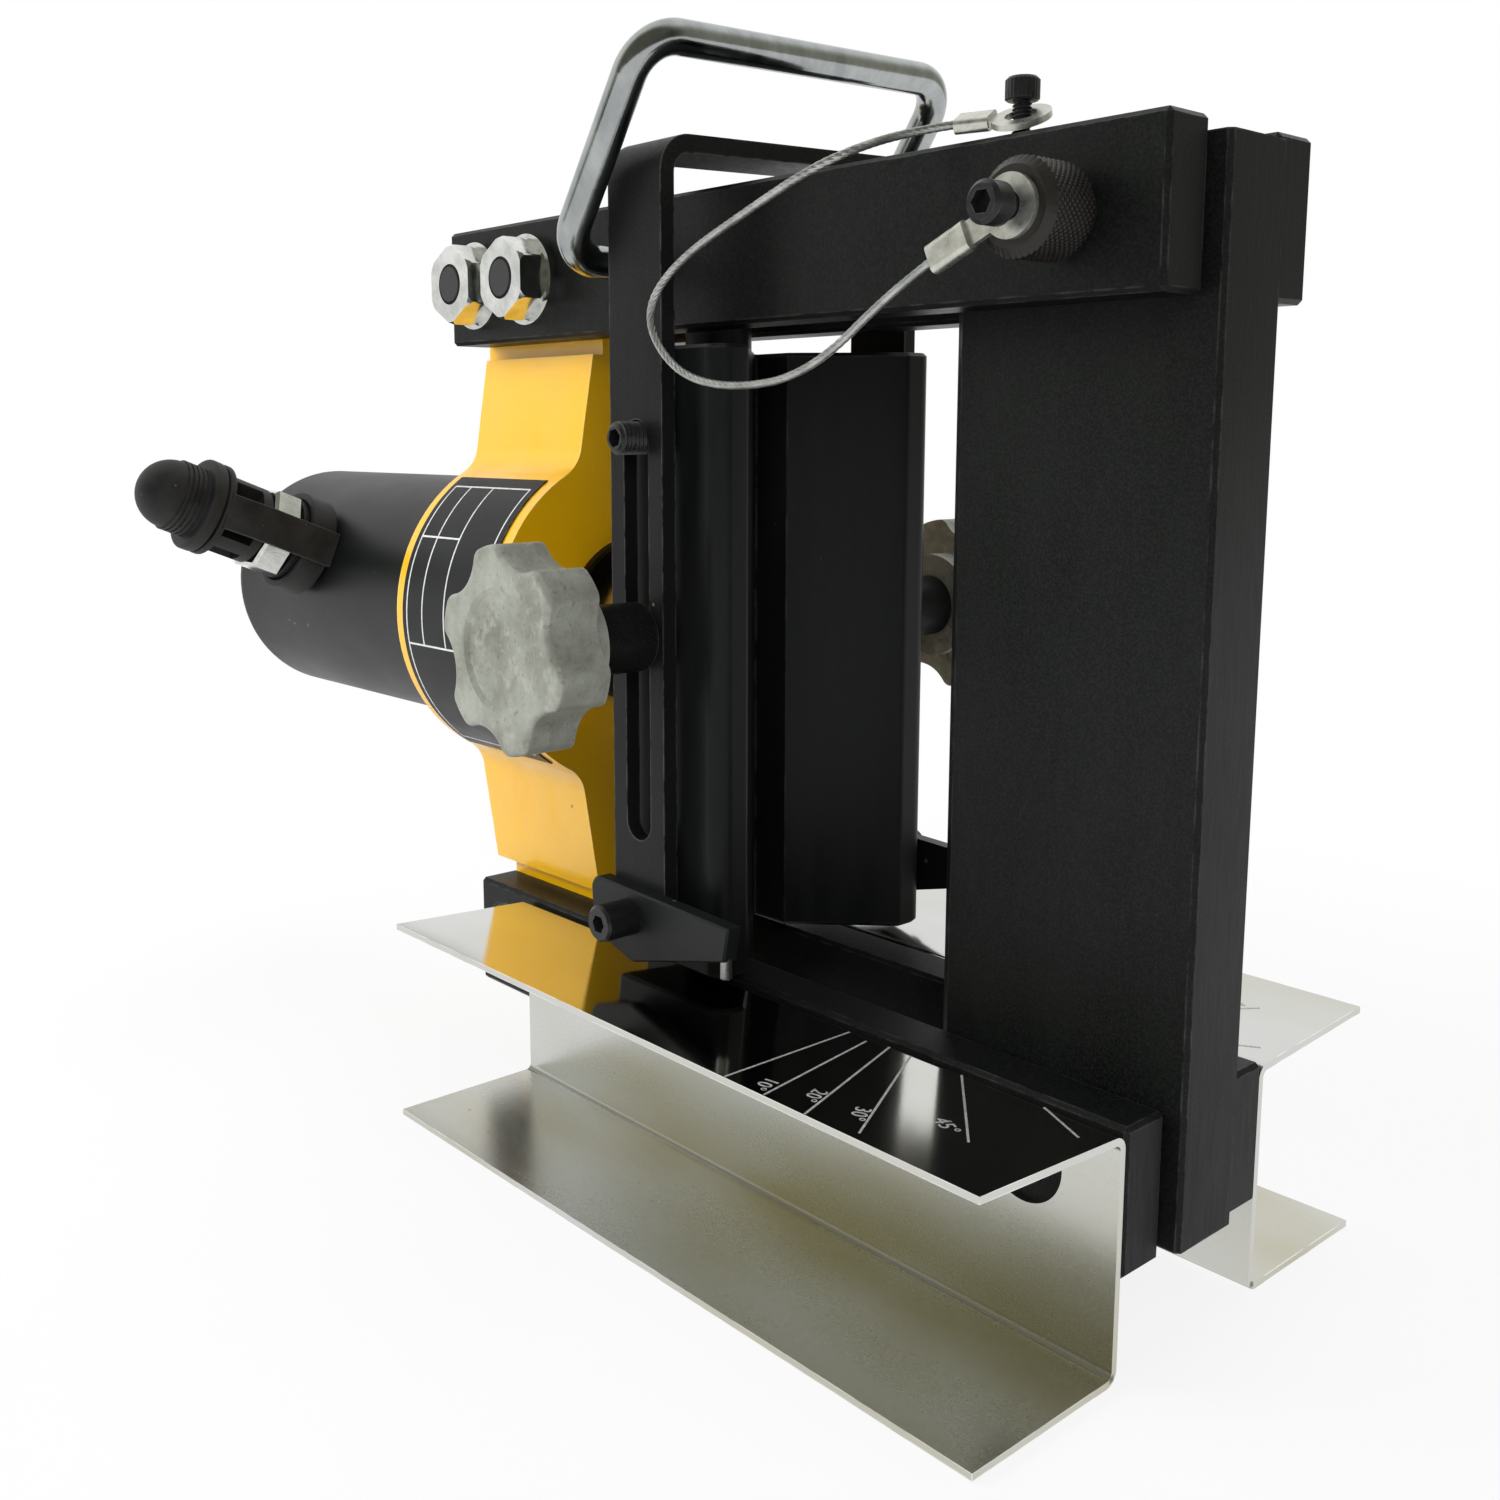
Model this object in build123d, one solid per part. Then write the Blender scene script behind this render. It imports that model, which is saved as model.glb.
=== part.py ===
from build123d import *
import math
import os

# Hydraulic busbar bender, sizes in millimetres.
# X runs along the frame from the pump side to the post, Y is across, Z is up.
# The origin is the middle of the base channels' footprint on the bench.

# Named clearances, each on the radius or on one face
SLIDE_CLEAR = 0.35
SNUG_CLEAR = 0.05
STACK_GAP = 0.2

# Driving sizes of the frame
BAR_LENGTH = 300.0
BAR_HEIGHT = 40.0
BAR_THICK = 16.0
BAR_GAP = 30.0
BAR_LEFT = -172.0
LOW_BAR_LEFT = -161.5
BAR_CHAMFER = 1.2
TOP_BAR_Z = 266.4
LOW_BAR_Z = 27.5

# Driving sizes of the end post, which is also the bending nose
POST_LEFT = 54.5
POST_RIGHT = 132.0
POST_THICK = 25.0
POST_FOOT = 29.4
POST_TOP_GAP = 3.0
NOSE_HALF_ANGLE = 45.0
NOSE_ROUND = 6.0
POST_CHAMFER = 1.2
POST_PIN_X = 101.0
POST_PIN_RISE = 19.2
PIN_DIA = 12.0
LOW_PIN_X = 98.6
LOW_PIN_Z = 50.2
LOW_PIN_DIA = 14.0
PIN_CHAMFER = 1.0
WEB_CLEAR = 4.9

# Driving sizes of the base channels
CHANNEL_LENGTH = 255.0
SHEET = 2.0
CHANNEL_OUT = 86.6
CHANNEL_TOP = 66.0
FLANGE_RISE = 3.0
BEND_RADIUS = 4.0

# Driving sizes of the through bolts
BOLT_DIA = 16.0
BOLT_CLEAR = 0.3
BOLT_THREAD_DIA = 13.8
BOLT_LEFT = -152.0
BOLT_PITCH = 32.0
WASHER_DIA = 30.0
WASHER_THICK = 3.0
NUT_FLATS = 24.0
NUT_TURN = 30.0
NUT_CORNER = 1.14
NUT_THICK = 10.0
HEAD_THICK = 10.0
BOLT_STICK_OUT = 0.3
BOLT_END_BEVEL = 1.0
LOW_SCREW_LEFT = -145.0
LOW_SCREW_PITCH = 28.0
FLUSH_HEAD_DIA = 26.0
FLUSH_HEAD_TALL = 6.0
FLUSH_HEAD_SINK = 0.3
FLUSH_SOCKET = 10.0
FLUSH_SOCKET_DEPTH = 6.0
FLUSH_END_GAP = 2.0

# Driving sizes of the yellow casting and the cylinder
AXIS_Z = 169.5
TONGUE_RIGHT = -102.0
ARM_HALF = 19.0
SHOULDER_GAP = 5.0
CASTING_RADIUS = 59.0
CASTING_LEFT = -169.5
CASTING_RIGHT = -103.0
ARM_ROOT_HALF = 31.0
ARM_BLEND_SHARE = 0.36
CYLINDER_RADIUS = 48.3
CYLINDER_LEFT = -332.5
CYLINDER_ROUND = 8.0
NECK_RADIUS = 42.0
NECK_RIGHT = -150.0
BORE_RADIUS = 32.5
BORE_LEFT = -272.0
GLAND_NOSE_RADIUS = 29.2
GLAND_STEP = -112.0
GLAND_RIGHT = -101.0
GLAND_BEVEL = 1.0
WIPER_WIDTH = 6.0
WIPER_DEPTH = 4.0
LABEL_THICK = 0.4
LABEL_GLUE = 0.15
LABEL_LENGTH = 54.0
LABEL_LEFT = -164.5
LABEL_SPAN = 57.0

# Driving sizes of the ram
RAM_RADIUS = 22.5
RAM_FRONT = -72.0
PISTON_FRONT = -240.0
PISTON_LENGTH = 22.0
PISTON_TAIL = 8.0
PISTON_TAIL_RADIUS = 20.0
SEAL_WIDTH = 6.0
SEAL_DEPTH = 4.5
SPRING_WIRE = 5.0
SPRING_TURNS = 3.5
RAM_TAIL_RADIUS = 14.0
DIE_SCREW_BITE = 16.0
DIE_SCREW_HOLE = 18.0

# Driving sizes of the vee die
DIE_FRONT = -6.5
DIE_BACK = -54.0
DIE_HALF = 46.0
DIE_LOW = 71.5
DIE_TOP_GAP = 6.2
LIP_INNER = 34.3
LIP_ROUND = 5.5
LIP_EDGE_ROUND = 2.0
DIE_BEVEL = 1.0
DIE_SLOT_HALF = 7.0
DIE_SLOT_DEPTH = 41.5
STEM_HALF = 20.0
GUIDE_DIA = 21.6
GUIDE_X = -59.0
GUIDE_REACH = 34.0
GUIDE_TAIL_DIA = 13.6
GUIDE_TAIL = 15.5
DIE_SCREW_DIA = 8.0
DIE_SCREW_HEAD = 13.0
DIE_SCREW_PITCH = 24.0

# Driving sizes of the strap, pointers and star knobs
STRAP_WIDTH = 24.5
STRAP_MIDDLE = -34.25
STRAP_THICK = 5.0
STRAP_GAP = 3.0
STRAP_FOOT = 78.0
STRAP_RISE = 12.4
STRAP_REAR_RISE = 4.0
STRAP_BEND = 11.0
STRAP_SLOT = 11.5
STRAP_SLOT_LOW = 111.5
GRUB_DROP = 26.7
GRUB_DIA = 10.0
GRUB_STICK_OUT = 8.0
GRUB_BITE = 18.0
GRUB_SOCKET = 5.0
SOCKET_DEPTH = 6.0
STUD_DIA = 10.0
STUD_Z = 174.5
STUD_DEPTH = 25.0
STUD_IN_KNOB = 10.0
SPACER_DIA = 21.0
SPACER_LENGTH = 24.0
KNOB_RADIUS = 30.0
KNOB_LOBES = 6
KNOB_SCALLOP = 14.0
KNOB_NOTCH = 5.5
KNOB_TURN = 73.0
KNOB_LOBE_ROUND = 4.0
KNOB_RIM_ROUND = 1.6
KNOB_HUB_DIA = 36.0
KNOB_HUB_LENGTH = 8.5
KNOB_DEPTH = 17.0
KNOB_DISH_DIA = 36.0
KNOB_DISH_DEEP = 0.9
KNOB_DISH_SLOPE = 1.8
KNOB_BORE = 14.0
POINTER_THICK = 5.0
POINTER_LEFT = -53.0
POINTER_RIGHT = 12.5
POINTER_HIGH = 97.9
POINTER_TIP_HIGH = 95.4
POINTER_TIP_LOW = 85.1
POINTER_LOW = 74.1
POINTER_LOW_X = -32.4
POINTER_SIDE_X = -51.5
POINTER_SIDE_Z = 79.5
POINTER_SCREW_X = -33.0
POINTER_SCREW_Z = 88.6
POINTER_SCREW_DIA = 6.0
POINTER_SCREW_HEAD = 11.4
POINTER_SCREW_TALL = 12.0
POINTER_SOCKET = 5.0
POINTER_ROUND = 4.0
POINTER_BEVEL = 0.6
NEEDLE_DIA = 3.4
NEEDLE_X = 8.9
NEEDLE_LOW = 79.2

# Driving sizes of the carrying handle
HANDLE_ROD = 10.0
HANDLE_X = -60.0
HANDLE_SIDE_GAP = 2.0
HANDLE_REACH = 70.0
HANDLE_LEAN = 35.0
HANDLE_REAR_EXTRA = 4.0
HANDLE_BEND = 12.5
HANDLE_BITE = 12.0

# Driving sizes of the pull pin and its lanyard
PULL_KNOB_DIA = 23.0
PULL_KNOB_LENGTH = 20.0
PULL_KNOB_GAP = 0.3
PULL_KNOB_BEVEL = 1.8
PULL_PIN_TAIL = 5.0
PULL_PIN_BITE = 12.0
PULL_NECK_LENGTH = 3.0
PULL_NECK_STEP = 3.0
CAP_SCREW_DIA = 6.0
CAP_HEAD_DIA = 10.0
CAP_HEAD_TALL = 6.0
CAP_SOCKET = 5.0
CAP_SOCKET_DEPTH = 3.0
CAP_STAND_OFF = 3.6
LUG_DIA = 14.7
LUG_THICK = 1.6
LUG_NECK = 10.5
LUG_OVERLAP = 3.0
LUG_SINK = 1.0
LUG_BARREL_WIDTH = 7.4
LUG_BARREL_TALL = 3.8
LUG_BARREL_ROUND = 1.5
LUG_BARREL_LENGTH = 12.0
LOW_LUG_TILT = 24.0
ROPE_DIA = 2.2
ROPE_STRAIGHT = 12.0
ROPE_GRIP = 6.0
TOP_SCREW_X = 80.6
TOP_SCREW_DIA = 5.0
TOP_SCREW_HEAD_DIA = 8.6
TOP_SCREW_HEAD_TALL = 5.6
TOP_SCREW_RISE = 8.8
TOP_SCREW_BITE = 13.0
TOP_SOCKET = 4.0
TOP_SOCKET_DEPTH = 3.0
TOP_LUG_DIA = 15.0
TOP_LUG_HOLE = 8.0
TOP_LUG_LIFT = 4.2
TOP_LUG_TURN = 17.0
TOP_LUG_TILT = 28.0
TOP_LUG_NECK = 5.0
TOP_LUG_BARREL = 9.0

# Driving sizes of the hose coupler
COUPLER_X = -265.0
COUPLER_RISE = 22.4
BOSS_DIA = 34.0
BOSS_END = 62.0
PORT_DIA = 8.0
HEX_FLATS = 32.0
HEX_END = 74.0
NIPPLE_DIA = 20.0
NIPPLE_END = 99.0
CAP_START = 75.0
CAP_RING_DIA = 31.0
CAP_RING_LENGTH = 4.0
CAP_RIBS = 6
CAP_RIB_WIDTH = 6.5
CAP_SEAT = 92.0
SEAT_DIA = 30.4
COLLAR_START = 95.5
COLLAR_DIA = 37.0
COLLAR_END = 101.0
COLLAR_ROUND = 1.4
NECK_DIA = 28.4
NECK_GROOVES = 4
GROOVE_DEPTH = 0.6
DOME_START = 110.0
DOME_DIA = 27.0
CAP_BORE_DIA = 21.0
LEASH_THICK = 3.0
LEASH_WIDTH = 14.0
LEASH_LOOP_AT = 54.0
LEASH_LOOP_WIDTH = 11.0
LEASH_STAND_OFF = 19.6
LEASH_BEND_AT = 78.0

# Derived sizes
inner_y = BAR_GAP / 2
outer_y = inner_y + BAR_THICK
bar_mid_y = inner_y + BAR_THICK / 2
top_edge = TOP_BAR_Z + BAR_HEIGHT
low_edge = LOW_BAR_Z + BAR_HEIGHT
top_mid = TOP_BAR_Z + BAR_HEIGHT / 2
low_mid = LOW_BAR_Z + BAR_HEIGHT / 2
bolt_xs = [BOLT_LEFT, BOLT_LEFT + BOLT_PITCH]
low_screw_xs = [LOW_SCREW_LEFT, LOW_SCREW_LEFT + LOW_SCREW_PITCH]
bar_right = BAR_LEFT + BAR_LENGTH
channel_half = CHANNEL_LENGTH / 2
web_out = outer_y + SHEET
nose_tip = POST_LEFT - POST_THICK / 2 / math.tan(math.radians(NOSE_HALF_ANGLE))
strap_in = DIE_HALF + STRAP_GAP
strap_out = strap_in + STRAP_THICK
strap_left = STRAP_MIDDLE - STRAP_WIDTH / 2
knob_face = strap_out + SPACER_LENGTH
handle_out = strap_out + HANDLE_SIDE_GAP + HANDLE_ROD / 2
pull_face = outer_y + PULL_KNOB_GAP + PULL_KNOB_LENGTH
post_pin_z = TOP_BAR_Z + POST_PIN_RISE
die_high = TOP_BAR_Z - DIE_TOP_GAP
grub_z = die_high - GRUB_DROP
strap_top = top_edge + STRAP_RISE
strap_slot_high = grub_z + GRUB_DIA / 2 + SLIDE_CLEAR


def block(x0, x1, y0, y1, z0, z1):
    middle = ((x0 + x1) / 2, (y0 + y1) / 2, (z0 + z1) / 2)
    return Pos(*middle) * Box(x1 - x0, y1 - y0, z1 - z0)


def rod_x(radius, x0, x1, y=0.0, z=AXIS_Z):
    return Pos((x0 + x1) / 2, y, z) * Rot(0, 90, 0) * Cylinder(radius, x1 - x0)


def rod_y(radius, y0, y1, x, z):
    return Pos(x, (y0 + y1) / 2, z) * Rot(90, 0, 0) * Cylinder(radius, abs(y1 - y0))


def rod_z(radius, z0, z1, x, y):
    return Pos(x, y, (z0 + z1) / 2) * Cylinder(radius, z1 - z0)


def hex_y(flats, y0, y1, x, z, turn=0.0):
    # Hexagon bar along Y with its corners turned by the way it was tightened
    outline = Rot(0, 0, turn) * RegularPolygon(flats / 2, 6, major_radius=False)
    bar = extrude(outline, abs(y1 - y0))
    return Pos(x, min(y0, y1), z) * Rot(-90, 0, 0) * bar


def flat_xz(points, y0, y1):
    # Plate drawn in X and Z, standing between two Y values
    face = make_face(Polyline(*[(x, 0, z) for x, z in points], close=True))
    return Pos(0, max(y0, y1), 0) * extrude(face, abs(y1 - y0), dir=(0, -1, 0))


def plan(points, z0, z1):
    # Block drawn in X and Y, standing between two heights
    face = make_face(Polyline(*points, close=True))
    return Pos(0, 0, z0) * extrude(face, z1 - z0, dir=(0, 0, 1))


def mirror_y(shape):
    return mirror(shape, about=Plane.XZ)


def save(name, *shapes):
    solids = []
    for shape in shapes:
        solids.extend(shape.solids())
    item = solids[0] if len(solids) == 1 else Compound(children=solids)
    item.label = name
    export_step(item, "parts/" + name + ".step")


def edges_near(shape, axis, test):
    return [edge for edge in shape.edges().filter_by(axis) if test(edge.center())]


os.makedirs("parts", exist_ok=True)

# Four side bars, drilled for bolts, pins and handle; the low pair starts further right
def flush_head(x, z, clear):
    # Countersunk head that ends just below the front face of a low bar
    cone = Cone(BOLT_DIA / 2 + clear, FLUSH_HEAD_DIA / 2 + clear, FLUSH_HEAD_TALL)
    return Pos(x, -outer_y + FLUSH_HEAD_SINK + FLUSH_HEAD_TALL / 2, z) * Rot(90, 0, 0) * cone


def side_bar(left, z0, hole_xs):
    # Flat bar in front of the middle, chamfered all round and drilled for its bolts
    bar = block(left, bar_right, -outer_y, -inner_y, z0, z0 + BAR_HEIGHT)
    bar = chamfer(bar.edges(), BAR_CHAMFER)
    for x in hole_xs:
        bar -= rod_y(BOLT_DIA / 2 + BOLT_CLEAR, -outer_y - 1, -inner_y + 1, x, z0 + BAR_HEIGHT / 2)
    return bar


top_bar = side_bar(BAR_LEFT, TOP_BAR_Z, bolt_xs)
top_bar -= rod_y(PIN_DIA / 2 + SLIDE_CLEAR, -outer_y - 1, -inner_y + 1, POST_PIN_X, post_pin_z)
top_bar -= rod_y(HANDLE_ROD / 2 + SLIDE_CLEAR, -outer_y - 1, -inner_y + 1, HANDLE_X, top_mid)
save("top_bar_rear", mirror_y(top_bar))
screw_hole = TOP_SCREW_DIA / 2 + SNUG_CLEAR
top_bar -= rod_z(screw_hole, top_edge - TOP_SCREW_BITE - 1, top_edge + 1, TOP_SCREW_X, -bar_mid_y)
save("top_bar_front", top_bar)
low_bar = side_bar(LOW_BAR_LEFT, LOW_BAR_Z, low_screw_xs)
low_bar -= rod_y(LOW_PIN_DIA / 2 + SNUG_CLEAR, -outer_y - 1, -inner_y + 1, LOW_PIN_X, LOW_PIN_Z)
for x in low_screw_xs:
    low_bar -= flush_head(x, low_mid, BOLT_CLEAR)
    low_bar -= rod_y(FLUSH_HEAD_DIA / 2 + BOLT_CLEAR, -outer_y - 1, -outer_y + FLUSH_HEAD_SINK, x, low_mid)
save("low_bar_front", low_bar)
save("low_bar_rear", mirror_y(low_bar))

# End post with the bending nose on its inner edge, held by two cross pins
post_half = POST_THICK / 2
post_plan = [
    (nose_tip, 0),
    (POST_LEFT, -post_half),
    (POST_RIGHT, -post_half),
    (POST_RIGHT, post_half),
    (POST_LEFT, post_half),
]
post = plan(post_plan, POST_FOOT, top_edge - POST_TOP_GAP)
post = fillet(edges_near(post, Axis.Z, lambda c: c.X < nose_tip + 1), NOSE_ROUND)
post = chamfer(edges_near(post, Axis.Z, lambda c: c.X > POST_RIGHT - 1), POST_CHAMFER)
post -= rod_y(PIN_DIA / 2 + SLIDE_CLEAR, -post_half - 1, post_half + 1, POST_PIN_X, post_pin_z)
post -= rod_y(LOW_PIN_DIA / 2 + SNUG_CLEAR, -post_half - 1, post_half + 1, LOW_PIN_X, LOW_PIN_Z)
save("end_post", post)

post_pin = rod_y(LOW_PIN_DIA / 2, -outer_y, outer_y, LOW_PIN_X, LOW_PIN_Z)
post_pin = chamfer(post_pin.edges().filter_by(GeomType.CIRCLE), PIN_CHAMFER)
save("post_low_pin", post_pin)

# Two folded base channels, flanges outwards, the upper flange slightly raised
channel_points = [
    (-outer_y, 0),
    (-CHANNEL_OUT, 0),
    (-CHANNEL_OUT, SHEET),
    (-web_out, SHEET),
    (-web_out, CHANNEL_TOP - SHEET),
    (-CHANNEL_OUT, CHANNEL_TOP - SHEET + FLANGE_RISE),
    (-CHANNEL_OUT, CHANNEL_TOP + FLANGE_RISE),
    (-outer_y, CHANNEL_TOP),
]
channel_face = make_face(Polyline(*[(0, y, z) for y, z in channel_points], close=True))
channel = Pos(-channel_half, 0, 0) * extrude(channel_face, CHANNEL_LENGTH, dir=(1, 0, 0))
outer_bends = edges_near(channel, Axis.X, lambda c: abs(c.Y + outer_y) < 0.1)
channel = fillet(outer_bends, BEND_RADIUS)
inner_bends = edges_near(channel, Axis.X, lambda c: abs(c.Y + web_out) < 0.1)
channel = fillet(inner_bends, BEND_RADIUS - SHEET)
channel -= rod_y(LOW_PIN_DIA / 2 + WEB_CLEAR, -web_out - 1, -outer_y + 1, LOW_PIN_X, LOW_PIN_Z)
save("channel_front", channel)
save("channel_rear", mirror_y(channel))

# Upper through bolts with their washers and nuts
bolts = []
washers = []
nuts = []
under = outer_y + WASHER_THICK
bolt_end = under + NUT_THICK + BOLT_STICK_OUT
for x in bolt_xs:
    thread = rod_y(BOLT_THREAD_DIA / 2, -bolt_end, -under, x, top_mid)
    thread = chamfer(thread.faces().sort_by(Axis.Y)[0].edges(), BOLT_END_BEVEL)
    shank = thread + rod_y(BOLT_DIA / 2, -under, under, x, top_mid)
    bolts.append(shank + hex_y(NUT_FLATS, under, under + HEAD_THICK, x, top_mid))
    ring = rod_y(WASHER_DIA / 2, outer_y, under, x, top_mid)
    ring -= rod_y(BOLT_DIA / 2 + BOLT_CLEAR, outer_y - 1, under + 1, x, top_mid)
    washers.append(ring)
    washers.append(mirror_y(ring))
    nut = hex_y(NUT_FLATS, -under - NUT_THICK, -under, x, top_mid, NUT_TURN)
    dome = rod_y(NUT_FLATS / 2 * NUT_CORNER, -under - NUT_THICK, -under, x, top_mid)
    dome = chamfer(dome.edges().filter_by(GeomType.CIRCLE), 1.6, 0.8)
    nut = nut & dome
    nut -= rod_y(BOLT_THREAD_DIA / 2 + SNUG_CLEAR, -under - NUT_THICK - 1, -under + 1, x, top_mid)
    nuts.append(nut)
save("top_bolts", *bolts)
save("top_washers", *washers)
save("top_nuts", *nuts)

# Lower countersunk screws, flush in the bars and driven into the casting's tongue
low_screws = []
head_face = -outer_y + FLUSH_HEAD_SINK
for x in low_screw_xs:
    screw = flush_head(x, low_mid, 0)
    screw += rod_y(BOLT_DIA / 2, head_face + FLUSH_HEAD_TALL, -FLUSH_END_GAP, x, low_mid)
    screw -= hex_y(FLUSH_SOCKET, head_face - 1, head_face + FLUSH_SOCKET_DEPTH, x, low_mid)
    low_screws.append(screw)
    low_screws.append(mirror_y(screw))
save("low_screws", *low_screws)

# Yellow casting: round barrel with an arm up and down, tongues between the bars
arm_top = TOP_BAR_Z - SHOULDER_GAP
arm_foot = low_edge + SHOULDER_GAP
arm_up = arm_top - AXIS_Z
arm_down = AXIS_Z - arm_foot
arm_plan = [
    (-ARM_HALF, arm_up),
    (ARM_HALF, arm_up),
    (ARM_ROOT_HALF, 0),
    (ARM_HALF, -arm_down),
    (-ARM_HALF, -arm_down),
    (-ARM_ROOT_HALF, 0),
]
outline = Circle(CASTING_RADIUS) + make_face(Polyline(*arm_plan, close=True))
waist = [corner for corner in outline.vertices() if abs(corner.X) > ARM_HALF + 0.1]
outline = fillet(waist, ARM_BLEND_SHARE * (min(arm_up, arm_down) - CASTING_RADIUS))
length = TONGUE_RIGHT - CASTING_LEFT
casting = extrude(Plane.YZ * outline, length)
casting = Pos(CASTING_LEFT, 0, AXIS_Z) * casting
arm_points = [
    (BAR_LEFT + 4, arm_top + 1),
    (TONGUE_RIGHT, arm_top + 1),
    (TONGUE_RIGHT - 3, AXIS_Z + NECK_RADIUS),
    (TONGUE_RIGHT - 3, AXIS_Z - NECK_RADIUS),
    (TONGUE_RIGHT, arm_foot - 1),
    (BAR_LEFT + 4, arm_foot - 1),
    (CASTING_LEFT, AXIS_Z - CASTING_RADIUS),
    (CASTING_LEFT, AXIS_Z + CASTING_RADIUS),
]
casting = casting & flat_xz(arm_points, -CASTING_RADIUS - 1, CASTING_RADIUS + 1)
casting += block(BAR_LEFT, TONGUE_RIGHT, -inner_y, inner_y, arm_top - 1, top_edge)
casting += block(LOW_BAR_LEFT, TONGUE_RIGHT, -inner_y, inner_y, LOW_BAR_Z, arm_foot + 1)
for hole_xs, mid in ((bolt_xs, top_mid), (low_screw_xs, low_mid)):
    for x in hole_xs:
        casting -= rod_y(BOLT_DIA / 2 + BOLT_CLEAR, -inner_y - 1, inner_y + 1, x, mid)
casting -= rod_x(NECK_RADIUS + SNUG_CLEAR, CASTING_LEFT - 1, GLAND_STEP)
casting -= rod_x(GLAND_NOSE_RADIUS + SNUG_CLEAR, GLAND_STEP - 1, CASTING_RIGHT + 5)
save("casting", casting)

# Blank rating plate wrapped on the front of the barrel
plate_back = CASTING_RADIUS + LABEL_GLUE
plate = rod_x(plate_back + LABEL_THICK, LABEL_LEFT, LABEL_LEFT + LABEL_LENGTH)
plate -= rod_x(plate_back, LABEL_LEFT - 1, LABEL_LEFT + LABEL_LENGTH + 1)
label_half = CASTING_RADIUS * math.sin(math.radians(LABEL_SPAN))
label_high = AXIS_Z + label_half
label_low = AXIS_Z - label_half
window = block(LABEL_LEFT, LABEL_LEFT + LABEL_LENGTH, -CASTING_RADIUS - 1, 0, label_low, label_high)
save("rating_plate", plate & window)

# Cylinder: closed barrel with a welded port boss on its front
def along_port(start, end, radius):
    # Round length on the port's own axis, measured from the cylinder's axis
    tool = Pos(0, 0, (start + end) / 2) * Cylinder(radius, end - start)
    return port_place * tool


port_place = Pos(COUPLER_X, 0, AXIS_Z) * Rot(90 - COUPLER_RISE, 0, 0)
barrel = rod_x(CYLINDER_RADIUS, CYLINDER_LEFT, CASTING_LEFT)
barrel = fillet(barrel.faces().sort_by(Axis.X)[0].edges(), CYLINDER_ROUND)
barrel += rod_x(NECK_RADIUS, CASTING_LEFT, NECK_RIGHT)
barrel += along_port(BORE_RADIUS + 6, BOSS_END, BOSS_DIA / 2)
barrel -= rod_x(BORE_RADIUS, BORE_LEFT, NECK_RIGHT + 1)
barrel -= along_port(BORE_RADIUS - 6, BOSS_END + 1, PORT_DIA / 2)
save("cylinder", barrel)

# Gland bush that guides the ram, with a wiper ring in its outer end
gland = rod_x(NECK_RADIUS, NECK_RIGHT, GLAND_STEP)
gland += rod_x(GLAND_NOSE_RADIUS, GLAND_STEP, GLAND_RIGHT)
gland = chamfer(gland.faces().sort_by(Axis.X)[-1].edges(), GLAND_BEVEL)
wiper_right = GLAND_RIGHT - GLAND_BEVEL
wiper_left = wiper_right - WIPER_WIDTH
wiper_out = RAM_RADIUS + WIPER_DEPTH
gland -= rod_x(RAM_RADIUS + SNUG_CLEAR, NECK_RIGHT - 1, GLAND_RIGHT + 1)
gland -= rod_x(wiper_out, wiper_left, wiper_right)
save("gland_bush", gland)
wiper = rod_x(wiper_out - SNUG_CLEAR, wiper_left, wiper_right)
wiper -= rod_x(RAM_RADIUS + SNUG_CLEAR, wiper_left - 1, GLAND_RIGHT)
save("ram_wiper", wiper)

# Ram, piston, seal and the return spring around the ram
piston_back = PISTON_FRONT - PISTON_LENGTH
ram = rod_x(RAM_RADIUS, PISTON_FRONT, RAM_FRONT)
ram += rod_x(RAM_TAIL_RADIUS, piston_back, PISTON_FRONT)
for side in (-1, 1):
    z = AXIS_Z + side * DIE_SCREW_PITCH / 2
    ram -= rod_x(DIE_SCREW_DIA / 2 + SNUG_CLEAR, RAM_FRONT - DIE_SCREW_HOLE, RAM_FRONT + 1, 0, z)
save("ram", ram)
piston = rod_x(BORE_RADIUS - SNUG_CLEAR, piston_back, PISTON_FRONT)
piston += rod_x(PISTON_TAIL_RADIUS, piston_back - PISTON_TAIL, piston_back)
piston -= rod_x(RAM_TAIL_RADIUS + SNUG_CLEAR, piston_back, PISTON_FRONT + 1)
seal_left = piston_back + (PISTON_LENGTH - SEAL_WIDTH) / 2
groove = rod_x(BORE_RADIUS + 1, seal_left, seal_left + SEAL_WIDTH)
groove -= rod_x(BORE_RADIUS - SEAL_DEPTH, seal_left - 1, seal_left + SEAL_WIDTH + 1)
piston -= groove
save("piston", piston)
seal = rod_x(BORE_RADIUS - SNUG_CLEAR, seal_left, seal_left + SEAL_WIDTH)
seal -= rod_x(BORE_RADIUS - SEAL_DEPTH + SNUG_CLEAR, seal_left - 1, seal_left + SEAL_WIDTH + 1)
save("piston_seal", seal)

spring_radius = (RAM_RADIUS + BORE_RADIUS) / 2
spring_length = NECK_RIGHT - PISTON_FRONT - SPRING_WIRE - 1.0
spring_pitch = spring_length / SPRING_TURNS
coil = Helix(spring_pitch, spring_length, spring_radius)
wire_plane = Plane(origin=coil @ 0, z_dir=coil % 0)
spring = sweep(wire_plane * Circle(SPRING_WIRE / 2), path=coil, is_frenet=True)
spring = Pos(PISTON_FRONT + SPRING_WIRE / 2 + 0.5, 0, AXIS_Z) * Rot(0, 90, 0) * spring
print("spring gap between coils", round(spring_pitch - SPRING_WIRE, 2))
save("return_spring", spring)

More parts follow.
